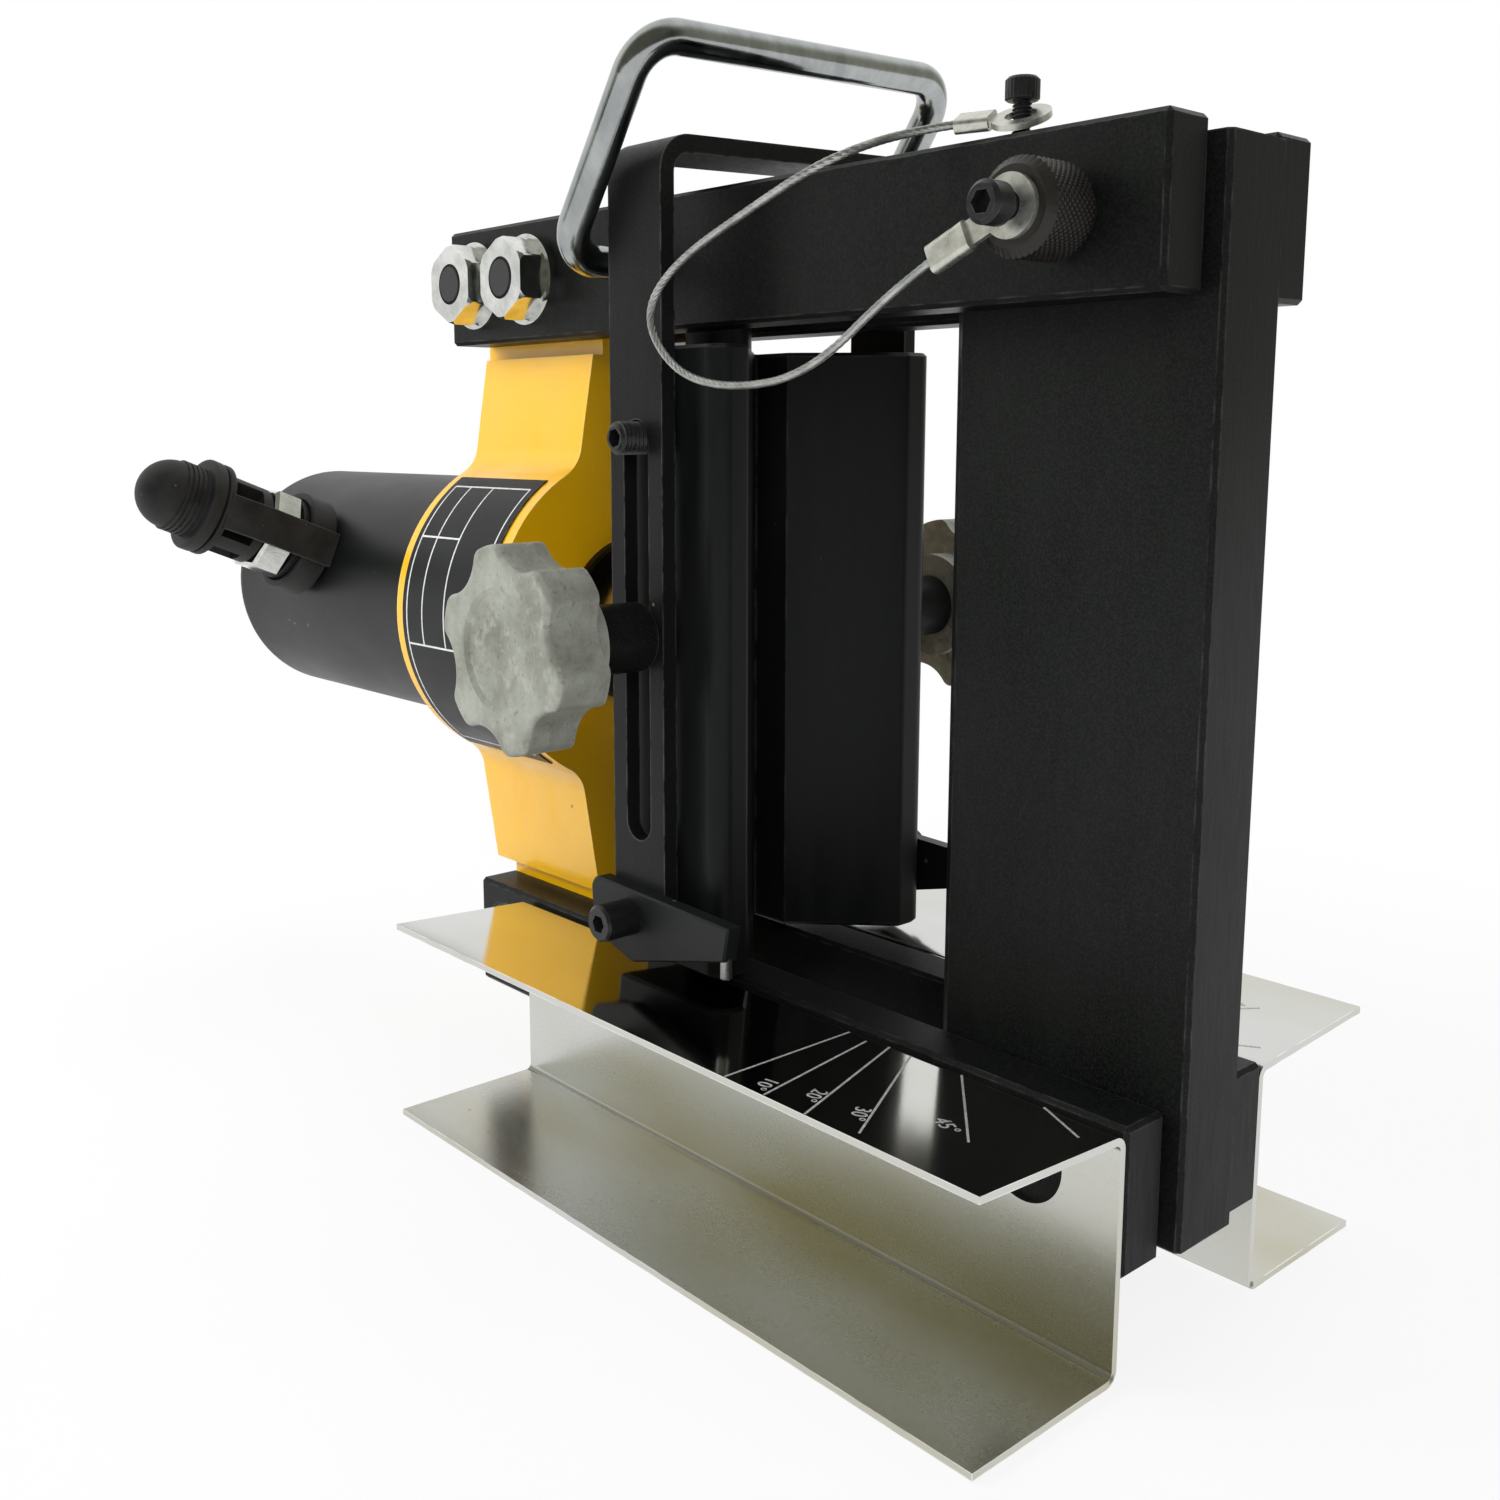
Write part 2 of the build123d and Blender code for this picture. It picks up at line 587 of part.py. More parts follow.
# Vee die with rounded lips, a relief slot and a stem towards the ram
vee_end = DIE_FRONT - (LIP_INNER - DIE_SLOT_HALF)
slot_end = DIE_FRONT - DIE_SLOT_DEPTH
screw_seat = slot_end - DIE_SCREW_DIA
half_die = [
    (slot_end, DIE_SLOT_HALF),
    (vee_end, DIE_SLOT_HALF),
    (DIE_FRONT, LIP_INNER),
    (DIE_FRONT, DIE_HALF),
    (DIE_BACK, DIE_HALF),
    (DIE_BACK, STEM_HALF),
    (RAM_FRONT, STEM_HALF),
]
die_points = half_die + [(x, -y) for x, y in reversed(half_die)]
die = plan(die_points, DIE_LOW, die_high)
lips = edges_near(die, Axis.Z, lambda c: abs(c.Y) > DIE_HALF - 1 and c.X > DIE_FRONT - 1)
die = fillet(lips, LIP_ROUND)
lip_edges = edges_near(die, Axis.Z, lambda c: abs(abs(c.Y) - LIP_INNER) < 1)
die = fillet(lip_edges, LIP_EDGE_ROUND)
for end in (0, -1):
    rim = die.faces().sort_by(Axis.Z)[end].edges()
    die = chamfer(rim, DIE_BEVEL)
stud_hole = STUD_DIA / 2 + SNUG_CLEAR
for side in (-1, 1):
    face = side * DIE_HALF
    die -= rod_y(stud_hole, face - side * STUD_DEPTH, face + side, STRAP_MIDDLE, STUD_Z)
    grub_hole = GRUB_DIA / 2 + SNUG_CLEAR
    die -= rod_y(grub_hole, face - side * (GRUB_BITE + 2), face + side, STRAP_MIDDLE, grub_z)
    z = AXIS_Z + side * DIE_SCREW_PITCH / 2
    die -= rod_x(DIE_SCREW_DIA / 2 + BOLT_CLEAR, RAM_FRONT - 1, slot_end + 1, 0, z)
    die -= rod_x(DIE_SCREW_HEAD / 2 + BOLT_CLEAR, screw_seat, slot_end + 1, 0, z)
guide_tail = GUIDE_TAIL_DIA / 2
guide_hole = GUIDE_TAIL + 0.5
for low, high in ((die_high - guide_hole, die_high + 1), (DIE_LOW - 1, DIE_LOW + guide_hole)):
    die -= rod_z(guide_tail + SNUG_CLEAR, low, high, GUIDE_X, 0)
save("vee_die", die)

guides = []
for edge, way in ((die_high, 1), (DIE_LOW, -1)):
    tip = edge + way * GUIDE_REACH
    root = edge - way * GUIDE_TAIL
    head = rod_z(GUIDE_DIA / 2, min(edge, tip), max(edge, tip), GUIDE_X, 0)
    tail = rod_z(guide_tail, min(edge, root), max(edge, root), GUIDE_X, 0)
    guides.append(head + tail)
save("guide_studs", *guides)

die_screws = []
for side in (-1, 1):
    z = AXIS_Z + side * DIE_SCREW_PITCH / 2
    screw = rod_x(DIE_SCREW_DIA / 2, RAM_FRONT - DIE_SCREW_BITE, screw_seat, 0, z)
    screw += rod_x(DIE_SCREW_HEAD / 2, screw_seat, slot_end, 0, z)
    die_screws.append(screw)
save("die_screws", *die_screws)

# Strap: flat bar folded over the bars, with a long slot in each leg
strap_line = [
    (-strap_out, STRAP_FOOT),
    (-strap_out, strap_top),
    (strap_out, strap_top + STRAP_REAR_RISE),
    (strap_out, STRAP_FOOT),
    (strap_in, STRAP_FOOT),
    (strap_in, strap_top + STRAP_REAR_RISE - STRAP_THICK),
    (-strap_in, strap_top - STRAP_THICK),
    (-strap_in, STRAP_FOOT),
]
strap_face = make_face(Polyline(*[(0, y, z) for y, z in strap_line], close=True))
strap = Pos(strap_left, 0, 0) * extrude(strap_face, STRAP_WIDTH, dir=(1, 0, 0))
outside = edges_near(strap, Axis.X, lambda c: c.Z > AXIS_Z and abs(c.Y) > strap_out - 1)
strap = fillet(outside, STRAP_BEND)
inside = edges_near(strap, Axis.X, lambda c: c.Z > AXIS_Z and strap_in - 1 < abs(c.Y) < strap_in + 1)
strap = fillet(inside, STRAP_BEND - STRAP_THICK)
slot_mid = (STRAP_SLOT_LOW + strap_slot_high) / 2
slot_tall = strap_slot_high - STRAP_SLOT_LOW
slot_cut = extrude(SlotOverall(slot_tall, STRAP_SLOT, rotation=90), strap_out + 5, both=True)
strap -= Pos(STRAP_MIDDLE, 0, slot_mid) * Rot(90, 0, 0) * slot_cut
screw_hole = POINTER_SCREW_DIA / 2 + SNUG_CLEAR
strap -= rod_y(screw_hole, -strap_out - 1, strap_out + 1, POINTER_SCREW_X, POINTER_SCREW_Z)
save("strap", strap)

# Pointer plates on the strap's legs, their screws and the index needles
pointer_points = [
    (POINTER_LEFT, POINTER_HIGH),
    (POINTER_RIGHT, POINTER_TIP_HIGH),
    (POINTER_RIGHT - 2, POINTER_TIP_LOW),
    (POINTER_LOW_X, POINTER_LOW),
    (POINTER_SIDE_X, POINTER_SIDE_Z),
]
pointer_out = strap_out + POINTER_THICK
pointer = flat_xz(pointer_points, -pointer_out, -strap_out)
pointer = fillet(edges_near(pointer, Axis.Y, lambda c: c.X < POINTER_LOW_X + 1), POINTER_ROUND)
pointer = chamfer(pointer.faces().sort_by(Axis.Y)[0].edges(), POINTER_BEVEL)
pointer -= rod_y(screw_hole, -pointer_out - 1, -strap_out + 1, POINTER_SCREW_X, POINTER_SCREW_Z)
needle_y = strap_out + POINTER_THICK / 2
needle_top = (POINTER_TIP_LOW + POINTER_TIP_HIGH) / 2
pointer -= rod_z(NEEDLE_DIA / 2 + SNUG_CLEAR, NEEDLE_LOW, needle_top, NEEDLE_X, -needle_y)
save("pointer_front", pointer)
save("pointer_rear", mirror_y(pointer))

needle = rod_z(NEEDLE_DIA / 2, NEEDLE_LOW, needle_top - 0.1, NEEDLE_X, -needle_y)
needle = chamfer(needle.faces().sort_by(Axis.Z)[0].edges(), 0.5)
save("needles", needle, mirror_y(needle))

pointer_head = pointer_out + POINTER_SCREW_TALL
screw_at = (POINTER_SCREW_X, POINTER_SCREW_Z)
pointer_screw = rod_y(POINTER_SCREW_HEAD / 2, -pointer_head, -pointer_out, *screw_at)
pointer_screw = chamfer(pointer_screw.faces().sort_by(Axis.Y)[0].edges(), 0.8)
pointer_screw += rod_y(POINTER_SCREW_DIA / 2, -pointer_out, -strap_in, *screw_at)
pointer_screw -= hex_y(POINTER_SOCKET, -pointer_head - 1, -pointer_head + SOCKET_DEPTH, *screw_at)
save("pointer_screws", pointer_screw, mirror_y(pointer_screw))

# Grub screws in the die, standing out through the tops of the strap's slots
grub_end = strap_out + GRUB_STICK_OUT
grub = rod_y(GRUB_DIA / 2, -grub_end, -DIE_HALF + GRUB_BITE, STRAP_MIDDLE, grub_z)
grub = chamfer(grub.faces().sort_by(Axis.Y)[0].edges(), 1.0)
grub -= hex_y(GRUB_SOCKET, -grub_end - 1, -grub_end + SOCKET_DEPTH, STRAP_MIDDLE, grub_z)
save("grub_screws", grub, mirror_y(grub))

# Studs, spacers and star knobs that clamp the strap to the die
knob_back = knob_face + KNOB_HUB_LENGTH
stud_end = knob_back + STUD_IN_KNOB
stud = rod_y(STUD_DIA / 2, -stud_end, -DIE_HALF + STUD_DEPTH - 1, STRAP_MIDDLE, STUD_Z)
save("studs", stud, mirror_y(stud))
spacer_foot = strap_out + STACK_GAP
spacer = rod_y(SPACER_DIA / 2, -knob_face + STACK_GAP, -spacer_foot, STRAP_MIDDLE, STUD_Z)
spacer -= rod_y(STUD_DIA / 2 + SNUG_CLEAR, -knob_face, -spacer_foot + 1, STRAP_MIDDLE, STUD_Z)
save("spacers", spacer, mirror_y(spacer))

star = Circle(KNOB_RADIUS)
scallop_at = KNOB_RADIUS - KNOB_NOTCH + KNOB_SCALLOP
for lobe in range(KNOB_LOBES):
    turn = math.radians(360.0 * lobe / KNOB_LOBES + KNOB_TURN)
    star -= Pos(scallop_at * math.cos(turn), scallop_at * math.sin(turn)) * Circle(KNOB_SCALLOP)
star = fillet(star.vertices(), KNOB_LOBE_ROUND)
knob = extrude(star, KNOB_DEPTH)
knob = fillet(knob.faces().sort_by(Axis.Z)[-1].edges(), KNOB_RIM_ROUND)
knob += Pos(0, 0, -KNOB_HUB_LENGTH / 2) * Cylinder(KNOB_HUB_DIA / 2, KNOB_HUB_LENGTH)
dish_floor = KNOB_DISH_DIA / 2 - KNOB_DISH_SLOPE
dish = Cone(dish_floor, KNOB_DISH_DIA / 2, KNOB_DISH_DEEP)
knob -= Pos(0, 0, KNOB_DEPTH - KNOB_DISH_DEEP / 2) * dish
bore_mid = (KNOB_BORE - KNOB_HUB_LENGTH - 1) / 2
bore_long = KNOB_BORE + KNOB_HUB_LENGTH + 1
knob -= Pos(0, 0, bore_mid) * Cylinder(STUD_DIA / 2 + SLIDE_CLEAR, bore_long)
front_knob = Pos(STRAP_MIDDLE, -knob_back, STUD_Z) * Rot(90, 0, 0) * knob
save("knob_front", front_knob)
save("knob_rear", mirror_y(front_knob))

# Carrying handle: one bent rod whose ends turn in the upper bars
lean = math.radians(HANDLE_LEAN)
rear_reach = HANDLE_REACH + HANDLE_REAR_EXTRA
front_grip = (HANDLE_REACH * math.sin(lean), HANDLE_REACH * math.cos(lean))
rear_grip = (rear_reach * math.sin(lean), rear_reach * math.cos(lean))
handle_line = FilletPolyline(
    (HANDLE_X, -outer_y + HANDLE_BITE, top_mid),
    (HANDLE_X, -handle_out, top_mid),
    (HANDLE_X + front_grip[0], -handle_out, top_mid + front_grip[1]),
    (HANDLE_X + rear_grip[0], handle_out, top_mid + rear_grip[1]),
    (HANDLE_X, handle_out, top_mid),
    (HANDLE_X, outer_y - HANDLE_BITE, top_mid),
    radius=HANDLE_BEND,
)
handle_plane = Plane(origin=handle_line @ 0, z_dir=handle_line % 0)
handle = sweep(handle_plane * Circle(HANDLE_ROD / 2), path=handle_line)
save("handle", handle)

# Pull pin with its knurled knob, the screw in its end and the lower lug
pull_pin = rod_y(PIN_DIA / 2, -pull_face + PULL_PIN_BITE, outer_y + PULL_PIN_TAIL, POST_PIN_X, post_pin_z)
pull_pin = chamfer(pull_pin.faces().sort_by(Axis.Y)[-1].edges(), 2.0)
save("pull_pin", pull_pin)
pull_foot = outer_y + PULL_KNOB_GAP
pull_at = (POST_PIN_X, post_pin_z)
pin_end = -pull_face + PULL_PIN_BITE
neck_end = -pull_foot - PULL_NECK_LENGTH
pull_knob = rod_y(PULL_KNOB_DIA / 2, -pull_face, neck_end, *pull_at)
pull_knob = chamfer(pull_knob.edges().filter_by(GeomType.CIRCLE), PULL_KNOB_BEVEL)
pull_knob += rod_y(PULL_KNOB_DIA / 2 - PULL_NECK_STEP, neck_end - 1, -pull_foot, *pull_at)
pull_knob -= rod_y(PIN_DIA / 2 + SNUG_CLEAR, pin_end, -pull_foot + 1, *pull_at)
pull_knob -= rod_y(CAP_SCREW_DIA / 2 + SNUG_CLEAR, -pull_face - 1, pin_end + 0.5, *pull_at)
save("pull_knob", pull_knob)
cap_seat = pull_face + LUG_THICK + CAP_STAND_OFF
cap_end = cap_seat + CAP_HEAD_TALL
cap_screw = rod_y(CAP_HEAD_DIA / 2, -cap_end, -cap_seat, *pull_at)
cap_screw = chamfer(cap_screw.faces().sort_by(Axis.Y)[0].edges(), 1.0)
cap_screw += rod_y(CAP_SCREW_DIA / 2, -cap_seat, pin_end - 0.5, *pull_at)
cap_screw -= hex_y(CAP_SOCKET, -cap_end - 1, -cap_end + CAP_SOCKET_DEPTH, *pull_at)
save("pull_screw", cap_screw)


def ring_lug(eye_dia, hole_dia, neck_length, barrel_length):
    # Flat eye with a neck along X and a flattened crimp barrel, lying on the XY plane
    eye = Pos(0, 0, LUG_THICK / 2) * Cylinder(eye_dia / 2, LUG_THICK)
    neck_start = eye_dia / 2 - 2
    neck_half = LUG_BARREL_WIDTH / 2 - 0.7
    neck = block(neck_start, neck_start + neck_length, -neck_half, neck_half, 0, LUG_THICK)
    lift = LUG_BARREL_TALL / 2 - LUG_SINK
    barrel_half = LUG_BARREL_WIDTH / 2
    start = neck_start + neck_length - LUG_OVERLAP
    end = start + barrel_length
    high = LUG_BARREL_TALL - LUG_SINK
    barrel = block(start, end, -barrel_half, barrel_half, -LUG_SINK, high)
    barrel = fillet(barrel.edges().filter_by(Axis.X), LUG_BARREL_ROUND)
    lug = eye + neck + barrel
    lug -= Pos(0, 0, LUG_THICK / 2) * Cylinder(hole_dia / 2, LUG_THICK + 2)
    lug -= rod_x(ROPE_DIA / 2 + SNUG_CLEAR, end - ROPE_GRIP - 0.2, end + 1, 0, lift)
    return lug, end, lift


low_hole = CAP_SCREW_DIA + 2 * BOLT_CLEAR
low_lug, low_reach, low_lift = ring_lug(LUG_DIA, low_hole, LUG_NECK, LUG_BARREL_LENGTH)
low_place = Pos(POST_PIN_X, -pull_face - 0.05, post_pin_z) * Rot(90, 0, 0) * Rot(0, 0, 180 + LOW_LUG_TILT)
save("lug_low", low_place * low_lug)
top_lug, top_reach, top_lift = ring_lug(TOP_LUG_DIA, TOP_LUG_HOLE, TOP_LUG_NECK, TOP_LUG_BARREL)
lug_z = top_edge + TOP_LUG_LIFT
top_place = Pos(TOP_SCREW_X, -bar_mid_y, lug_z) * Rot(0, 0, 180 + TOP_LUG_TURN)
top_place = top_place * Rot(-TOP_LUG_TILT, 0, 0)
save("lug_top", top_place * top_lug)

# Small cap screw in the bar's top edge that holds the upper lug
top_screw_seat = top_edge + TOP_SCREW_RISE
top_screw = rod_z(TOP_SCREW_DIA / 2, top_edge - TOP_SCREW_BITE, top_screw_seat, TOP_SCREW_X, -bar_mid_y)
screw_end = top_screw_seat + TOP_SCREW_HEAD_TALL
top_screw += rod_z(TOP_SCREW_HEAD_DIA / 2, top_screw_seat, screw_end, TOP_SCREW_X, -bar_mid_y)
top_screw = chamfer(top_screw.faces().sort_by(Axis.Z)[-1].edges(), 0.6)
socket = extrude(RegularPolygon(TOP_SOCKET / 2, 6, major_radius=False), TOP_SOCKET_DEPTH + 1)
top_screw -= Pos(TOP_SCREW_X, -bar_mid_y, screw_end - TOP_SOCKET_DEPTH) * socket
save("lanyard_screw", top_screw)

# Wire rope lanyard hanging in a loose loop in front of the upper bar
rope_start = (low_place * Pos(low_reach - ROPE_GRIP, 0, low_lift)).position
rope_end = (top_place * Pos(top_reach - ROPE_GRIP, 0, top_lift)).position
rope_out = (low_place * Pos(low_reach + ROPE_STRAIGHT, 0, low_lift)).position
rope_in = (top_place * Pos(top_reach + ROPE_STRAIGHT, 0, top_lift)).position
rope_points = [
    rope_start,
    rope_out,
    (42.0, -57.5, 249.5),
    (12.0, -58.5, 246.5),
    (-11.0, -59.0, 252.0),
    (-24.0, -59.0, 268.0),
    (-10.0, -59.0, 281.5),
    (22.0, -58.0, 293.5),
    (46.0, -56.5, 300.5),
    rope_in,
    rope_end,
]


def rope_radii(points):
    # Arc radius at each inner point from the shorter run and the turn there
    radii = []
    spots = [Vector(point) for point in points]
    for before, here, after in zip(spots, spots[1:], spots[2:]):
        first = here - before
        second = after - here
        turn = math.radians(first.get_angle(second))
        run = min(first.length, second.length)
        radii.append(0.45 * run / math.tan(turn / 2))
    return radii


radii = rope_radii(rope_points)
rope_line = FilletPolyline(*rope_points, radius=radii)
rope_plane = Plane(origin=rope_line @ 0, z_dir=rope_line % 0)
rope = sweep(rope_plane * Circle(ROPE_DIA / 2), path=rope_line)
print("rope radii", [round(radius, 1) for radius in radii])
tube = rope_line.length * math.pi * ROPE_DIA**2 / 4
print("rope length", round(rope_line.length, 1), "volume ratio", round(rope.volume / tube, 4))
save("lanyard", rope)

# Hose coupler: hexagon adapter, nipple, dust cap and its rubber leash
hexagon = extrude(RegularPolygon(HEX_FLATS / 2, 6, major_radius=False), HEX_END - BOSS_END)
hexagon = chamfer(hexagon.edges().filter_by(Plane.XY), 1.2)
adapter = port_place * Pos(0, 0, BOSS_END) * hexagon
adapter -= along_port(BOSS_END - 1, HEX_END + 1, PORT_DIA / 2)
save("coupler_hex", adapter)
nipple = along_port(HEX_END, NIPPLE_END, NIPPLE_DIA / 2)
nipple = chamfer(nipple.edges().filter_by(GeomType.CIRCLE), 1.0)
nipple -= along_port(HEX_END - 1, NIPPLE_END - 8, PORT_DIA / 2)
save("coupler_nipple", nipple)


def ring_z(radius, low, high):
    # Round length on the local Z axis, before it is set on the port
    return Pos(0, 0, (low + high) / 2) * Cylinder(radius, high - low)


cap = ring_z(CAP_RING_DIA / 2, CAP_START, CAP_START + CAP_RING_LENGTH)
cage = ring_z(CAP_RING_DIA / 2, CAP_START, CAP_SEAT)
for rib in range(CAP_RIBS // 2):
    beam = Box(CAP_RING_DIA + 2, CAP_RIB_WIDTH, CAP_SEAT - CAP_START)
    beam = Rot(0, 0, 360.0 / CAP_RIBS * rib + 10) * beam
    cap += cage & (Pos(0, 0, (CAP_START + CAP_SEAT) / 2) * beam)
cap += ring_z(SEAT_DIA / 2, CAP_SEAT, COLLAR_START)
collar = ring_z(COLLAR_DIA / 2, COLLAR_START, COLLAR_END)
cap += fillet(collar.edges().filter_by(GeomType.CIRCLE), COLLAR_ROUND)
neck = ring_z(NECK_DIA / 2, COLLAR_END - 0.5, DOME_START)
groove_pitch = (DOME_START - COLLAR_END) / (NECK_GROOVES + 0.5)
for groove in range(NECK_GROOVES):
    low = COLLAR_END + groove_pitch * (groove + 0.5)
    cut = ring_z(NECK_DIA / 2 + 1, low, low + groove_pitch / 2)
    cut -= ring_z(NECK_DIA / 2 - GROOVE_DEPTH, low - 1, low + groove_pitch)
    neck -= cut
cap += neck
ball = Pos(0, 0, DOME_START) * Sphere(DOME_DIA / 2)
cap += ball & ring_z(DOME_DIA, DOME_START, DOME_START + DOME_DIA)
cap -= ring_z(CAP_BORE_DIA / 2, CAP_START - 1, DOME_START)
save("dust_cap", port_place * cap)

# Leash: a loop round the boss, a wide strip and a ring behind the collar
loop_inner = BOSS_DIA / 2 + SLIDE_CLEAR
loop_low = LEASH_LOOP_AT - LEASH_LOOP_WIDTH / 2
loop_high = LEASH_LOOP_AT + LEASH_LOOP_WIDTH / 2
leash = ring_z(loop_inner + LEASH_THICK, loop_low, loop_high)
leash -= ring_z(loop_inner, loop_low - 1, loop_high + 1)
ring_low = CAP_SEAT + SLIDE_CLEAR
ring_high = COLLAR_START - SLIDE_CLEAR
seat_ring = ring_z(COLLAR_DIA / 2, ring_low, ring_high)
seat_ring -= ring_z(SEAT_DIA / 2 + SLIDE_CLEAR, ring_low - 1, ring_high + 1)
strip_out = LEASH_STAND_OFF + LEASH_THICK
strip_points = [
    (LEASH_STAND_OFF, loop_low),
    (strip_out, loop_low),
    (strip_out, LEASH_BEND_AT + 2),
    (COLLAR_DIA / 2, ring_high),
    (COLLAR_DIA / 2 - LEASH_THICK / 2, ring_high),
    (COLLAR_DIA / 2 - LEASH_THICK / 2, ring_low),
    (LEASH_STAND_OFF, LEASH_BEND_AT),
]
leash += seat_ring + flat_xz(strip_points, -LEASH_WIDTH / 2, LEASH_WIDTH / 2)
save("dust_leash", port_place * leash)
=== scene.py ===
import math

import bpy
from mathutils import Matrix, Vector


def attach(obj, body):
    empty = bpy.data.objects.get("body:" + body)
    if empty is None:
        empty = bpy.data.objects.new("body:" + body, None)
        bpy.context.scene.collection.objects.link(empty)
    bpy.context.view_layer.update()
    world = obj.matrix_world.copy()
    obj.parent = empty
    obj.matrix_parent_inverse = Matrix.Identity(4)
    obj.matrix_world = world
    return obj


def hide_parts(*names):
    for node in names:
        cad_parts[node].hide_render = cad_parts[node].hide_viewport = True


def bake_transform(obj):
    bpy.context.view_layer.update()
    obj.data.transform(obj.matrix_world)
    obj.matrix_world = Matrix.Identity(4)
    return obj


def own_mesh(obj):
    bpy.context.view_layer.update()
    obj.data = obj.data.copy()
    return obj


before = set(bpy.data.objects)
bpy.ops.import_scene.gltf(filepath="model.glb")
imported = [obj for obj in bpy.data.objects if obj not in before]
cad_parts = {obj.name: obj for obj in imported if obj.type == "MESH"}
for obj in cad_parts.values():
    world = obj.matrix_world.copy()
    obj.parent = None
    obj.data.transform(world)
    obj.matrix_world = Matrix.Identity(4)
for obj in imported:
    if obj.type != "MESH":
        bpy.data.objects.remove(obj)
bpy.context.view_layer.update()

# Camera: a short lens held close to the post's front corner, a little above the top flange.
# Its place and lens fit the edges of the real bender in a square frame of 1500 by 1500.
CAMERA_PLACE = (0.3297, -0.3388, 0.2349)
CAMERA_DIP, CAMERA_HEADING = 8.83, 48.67
lens = bpy.data.cameras.new("bench_camera")
lens.sensor_width = 36.0
lens.lens = 37.13
lens.shift_x = 0.0163
lens.shift_y = -0.0510
lens.clip_start = 0.01
camera = bpy.data.objects.new("bench_camera", lens)
camera.location = CAMERA_PLACE
camera.rotation_euler = (math.radians(90 - CAMERA_DIP), 0.0, math.radians(CAMERA_HEADING))
bpy.context.scene.collection.objects.link(camera)
bpy.context.scene.camera = camera


# Studio: a white sweep of floor, pale walls far off and three soft lamps that metal does not mirror.
# The floor shows white to the lens and to bright metal, and keeps the bender's soft shadow.
def add(tree, kind, inputs=(), **settings):
    # One shader node, with its settings made and its inputs linked or set
    node = tree.nodes.new("ShaderNode" + kind)
    for name, value in settings.items():
        setattr(node, name, value)
    for key, value in dict(inputs).items():
        if isinstance(value, bpy.types.NodeSocket):
            tree.links.new(value, node.inputs[key])
        else:
            node.inputs[key].default_value = value
    return node


def figure(tree, operation, first, second=0.0):
    node = add(tree, "Math", {0: first, 1: second}, operation=operation)
    return node.outputs[0]


def span(tree, value, low, high, to_low=0.0, to_high=1.0, ease="LINEAR"):
    # A value brought from one range to another and held inside it
    inputs = {0: value, 1: low, 2: high, 3: to_low, 4: to_high}
    return add(tree, "MapRange", inputs, interpolation_type=ease).outputs[0]


def shown_rays(tree):
    # One for rays from the lens and for rays that bright metal sends out
    path = add(tree, "LightPath")
    seen = figure(tree, "MAXIMUM", path.outputs["Is Camera Ray"], path.outputs["Is Glossy Ray"])
    return figure(tree, "MAXIMUM", seen, path.outputs["Is Transmission Ray"])


def mesh_piece(name, points, faces, finish, smooth=True):
    mesh = bpy.data.meshes.new(name)
    mesh.from_pydata([tuple(p) for p in points], [], faces)
    mesh.validate()
    mesh.update()
    if smooth:
        mesh.polygons.foreach_set("use_smooth", [True] * len(mesh.polygons))
    mesh.materials.append(finish)
    piece = bpy.data.objects.new(name, mesh)
    bpy.context.scene.collection.objects.link(piece)
    return piece


FLOOR_HALF = 6.0
FLOOR_Z = -0.0004
SHADOW_FROM, SHADOW_TO = 0.26, 0.56
WHITE_NEAR = 0.86
floor_paint = bpy.data.materials.new("floor_paint")
floor_paint.use_nodes = True
tree = floor_paint.node_tree
tree.nodes.clear()
place = add(tree, "TexCoord").outputs["Object"]
reach = add(tree, "VectorMath", {0: place}, operation="LENGTH").outputs["Value"]
grit = add(tree, "TexNoise", {"Vector": place, "Scale": 9.0, "Detail": 4.0}).outputs[0]
shade = span(tree, grit, 0.3, 0.7, 0.86, 0.90)
paint = add(tree, "CombineColor", {0: shade, 1: shade, 2: shade}).outputs[0]
matt = add(tree, "BsdfDiffuse", {"Color": paint})
glow = add(tree, "Emission", {"Color": (1.0, 1.0, 1.0, 1.0), "Strength": 1.0})
whiten = span(tree, reach, SHADOW_FROM, SHADOW_TO, WHITE_NEAR, 1.0, "SMOOTHSTEP")
whiten = figure(tree, "MULTIPLY", whiten, shown_rays(tree))
both = add(tree, "MixShader", {0: whiten, 1: matt.outputs[0], 2: glow.outputs[0]})
add(tree, "OutputMaterial", {"Surface": both.outputs[0]})
floor_corners = [(-FLOOR_HALF, -FLOOR_HALF), (FLOOR_HALF, -FLOOR_HALF),
                 (FLOOR_HALF, FLOOR_HALF), (-FLOOR_HALF, FLOOR_HALF)]
floor = mesh_piece("floor", [(x, y, FLOOR_Z) for x, y in floor_corners], [(0, 1, 2, 3)],
                   floor_paint, smooth=False)

DARK_WALL, DIM_WALL = (0.60, -0.80, 0.0), (0.75, 0.66, 0.0)
DARK_LEVEL, DIM_LEVEL = 0.14, 0.35
AMBIENT = 0.40
world = bpy.data.worlds.new("pale_room")
bpy.context.scene.world = world
world.use_nodes = True
tree = world.node_tree
tree.nodes.clear()
toward = add(tree, "TexCoord").outputs["Generated"]
facing = add(tree, "VectorMath", {0: toward, 1: DARK_WALL}, operation="DOT_PRODUCT")
dark = span(tree, facing.outputs["Value"], -0.08, 0.44, 1.0, DARK_LEVEL, "SMOOTHSTEP")
aside = add(tree, "VectorMath", {0: toward, 1: DIM_WALL}, operation="DOT_PRODUCT")
dim = span(tree, aside.outputs["Value"], 0.45, 0.92, 1.0, DIM_LEVEL, "SMOOTHSTEP")
dim = figure(tree, "MULTIPLY", dark, dim)
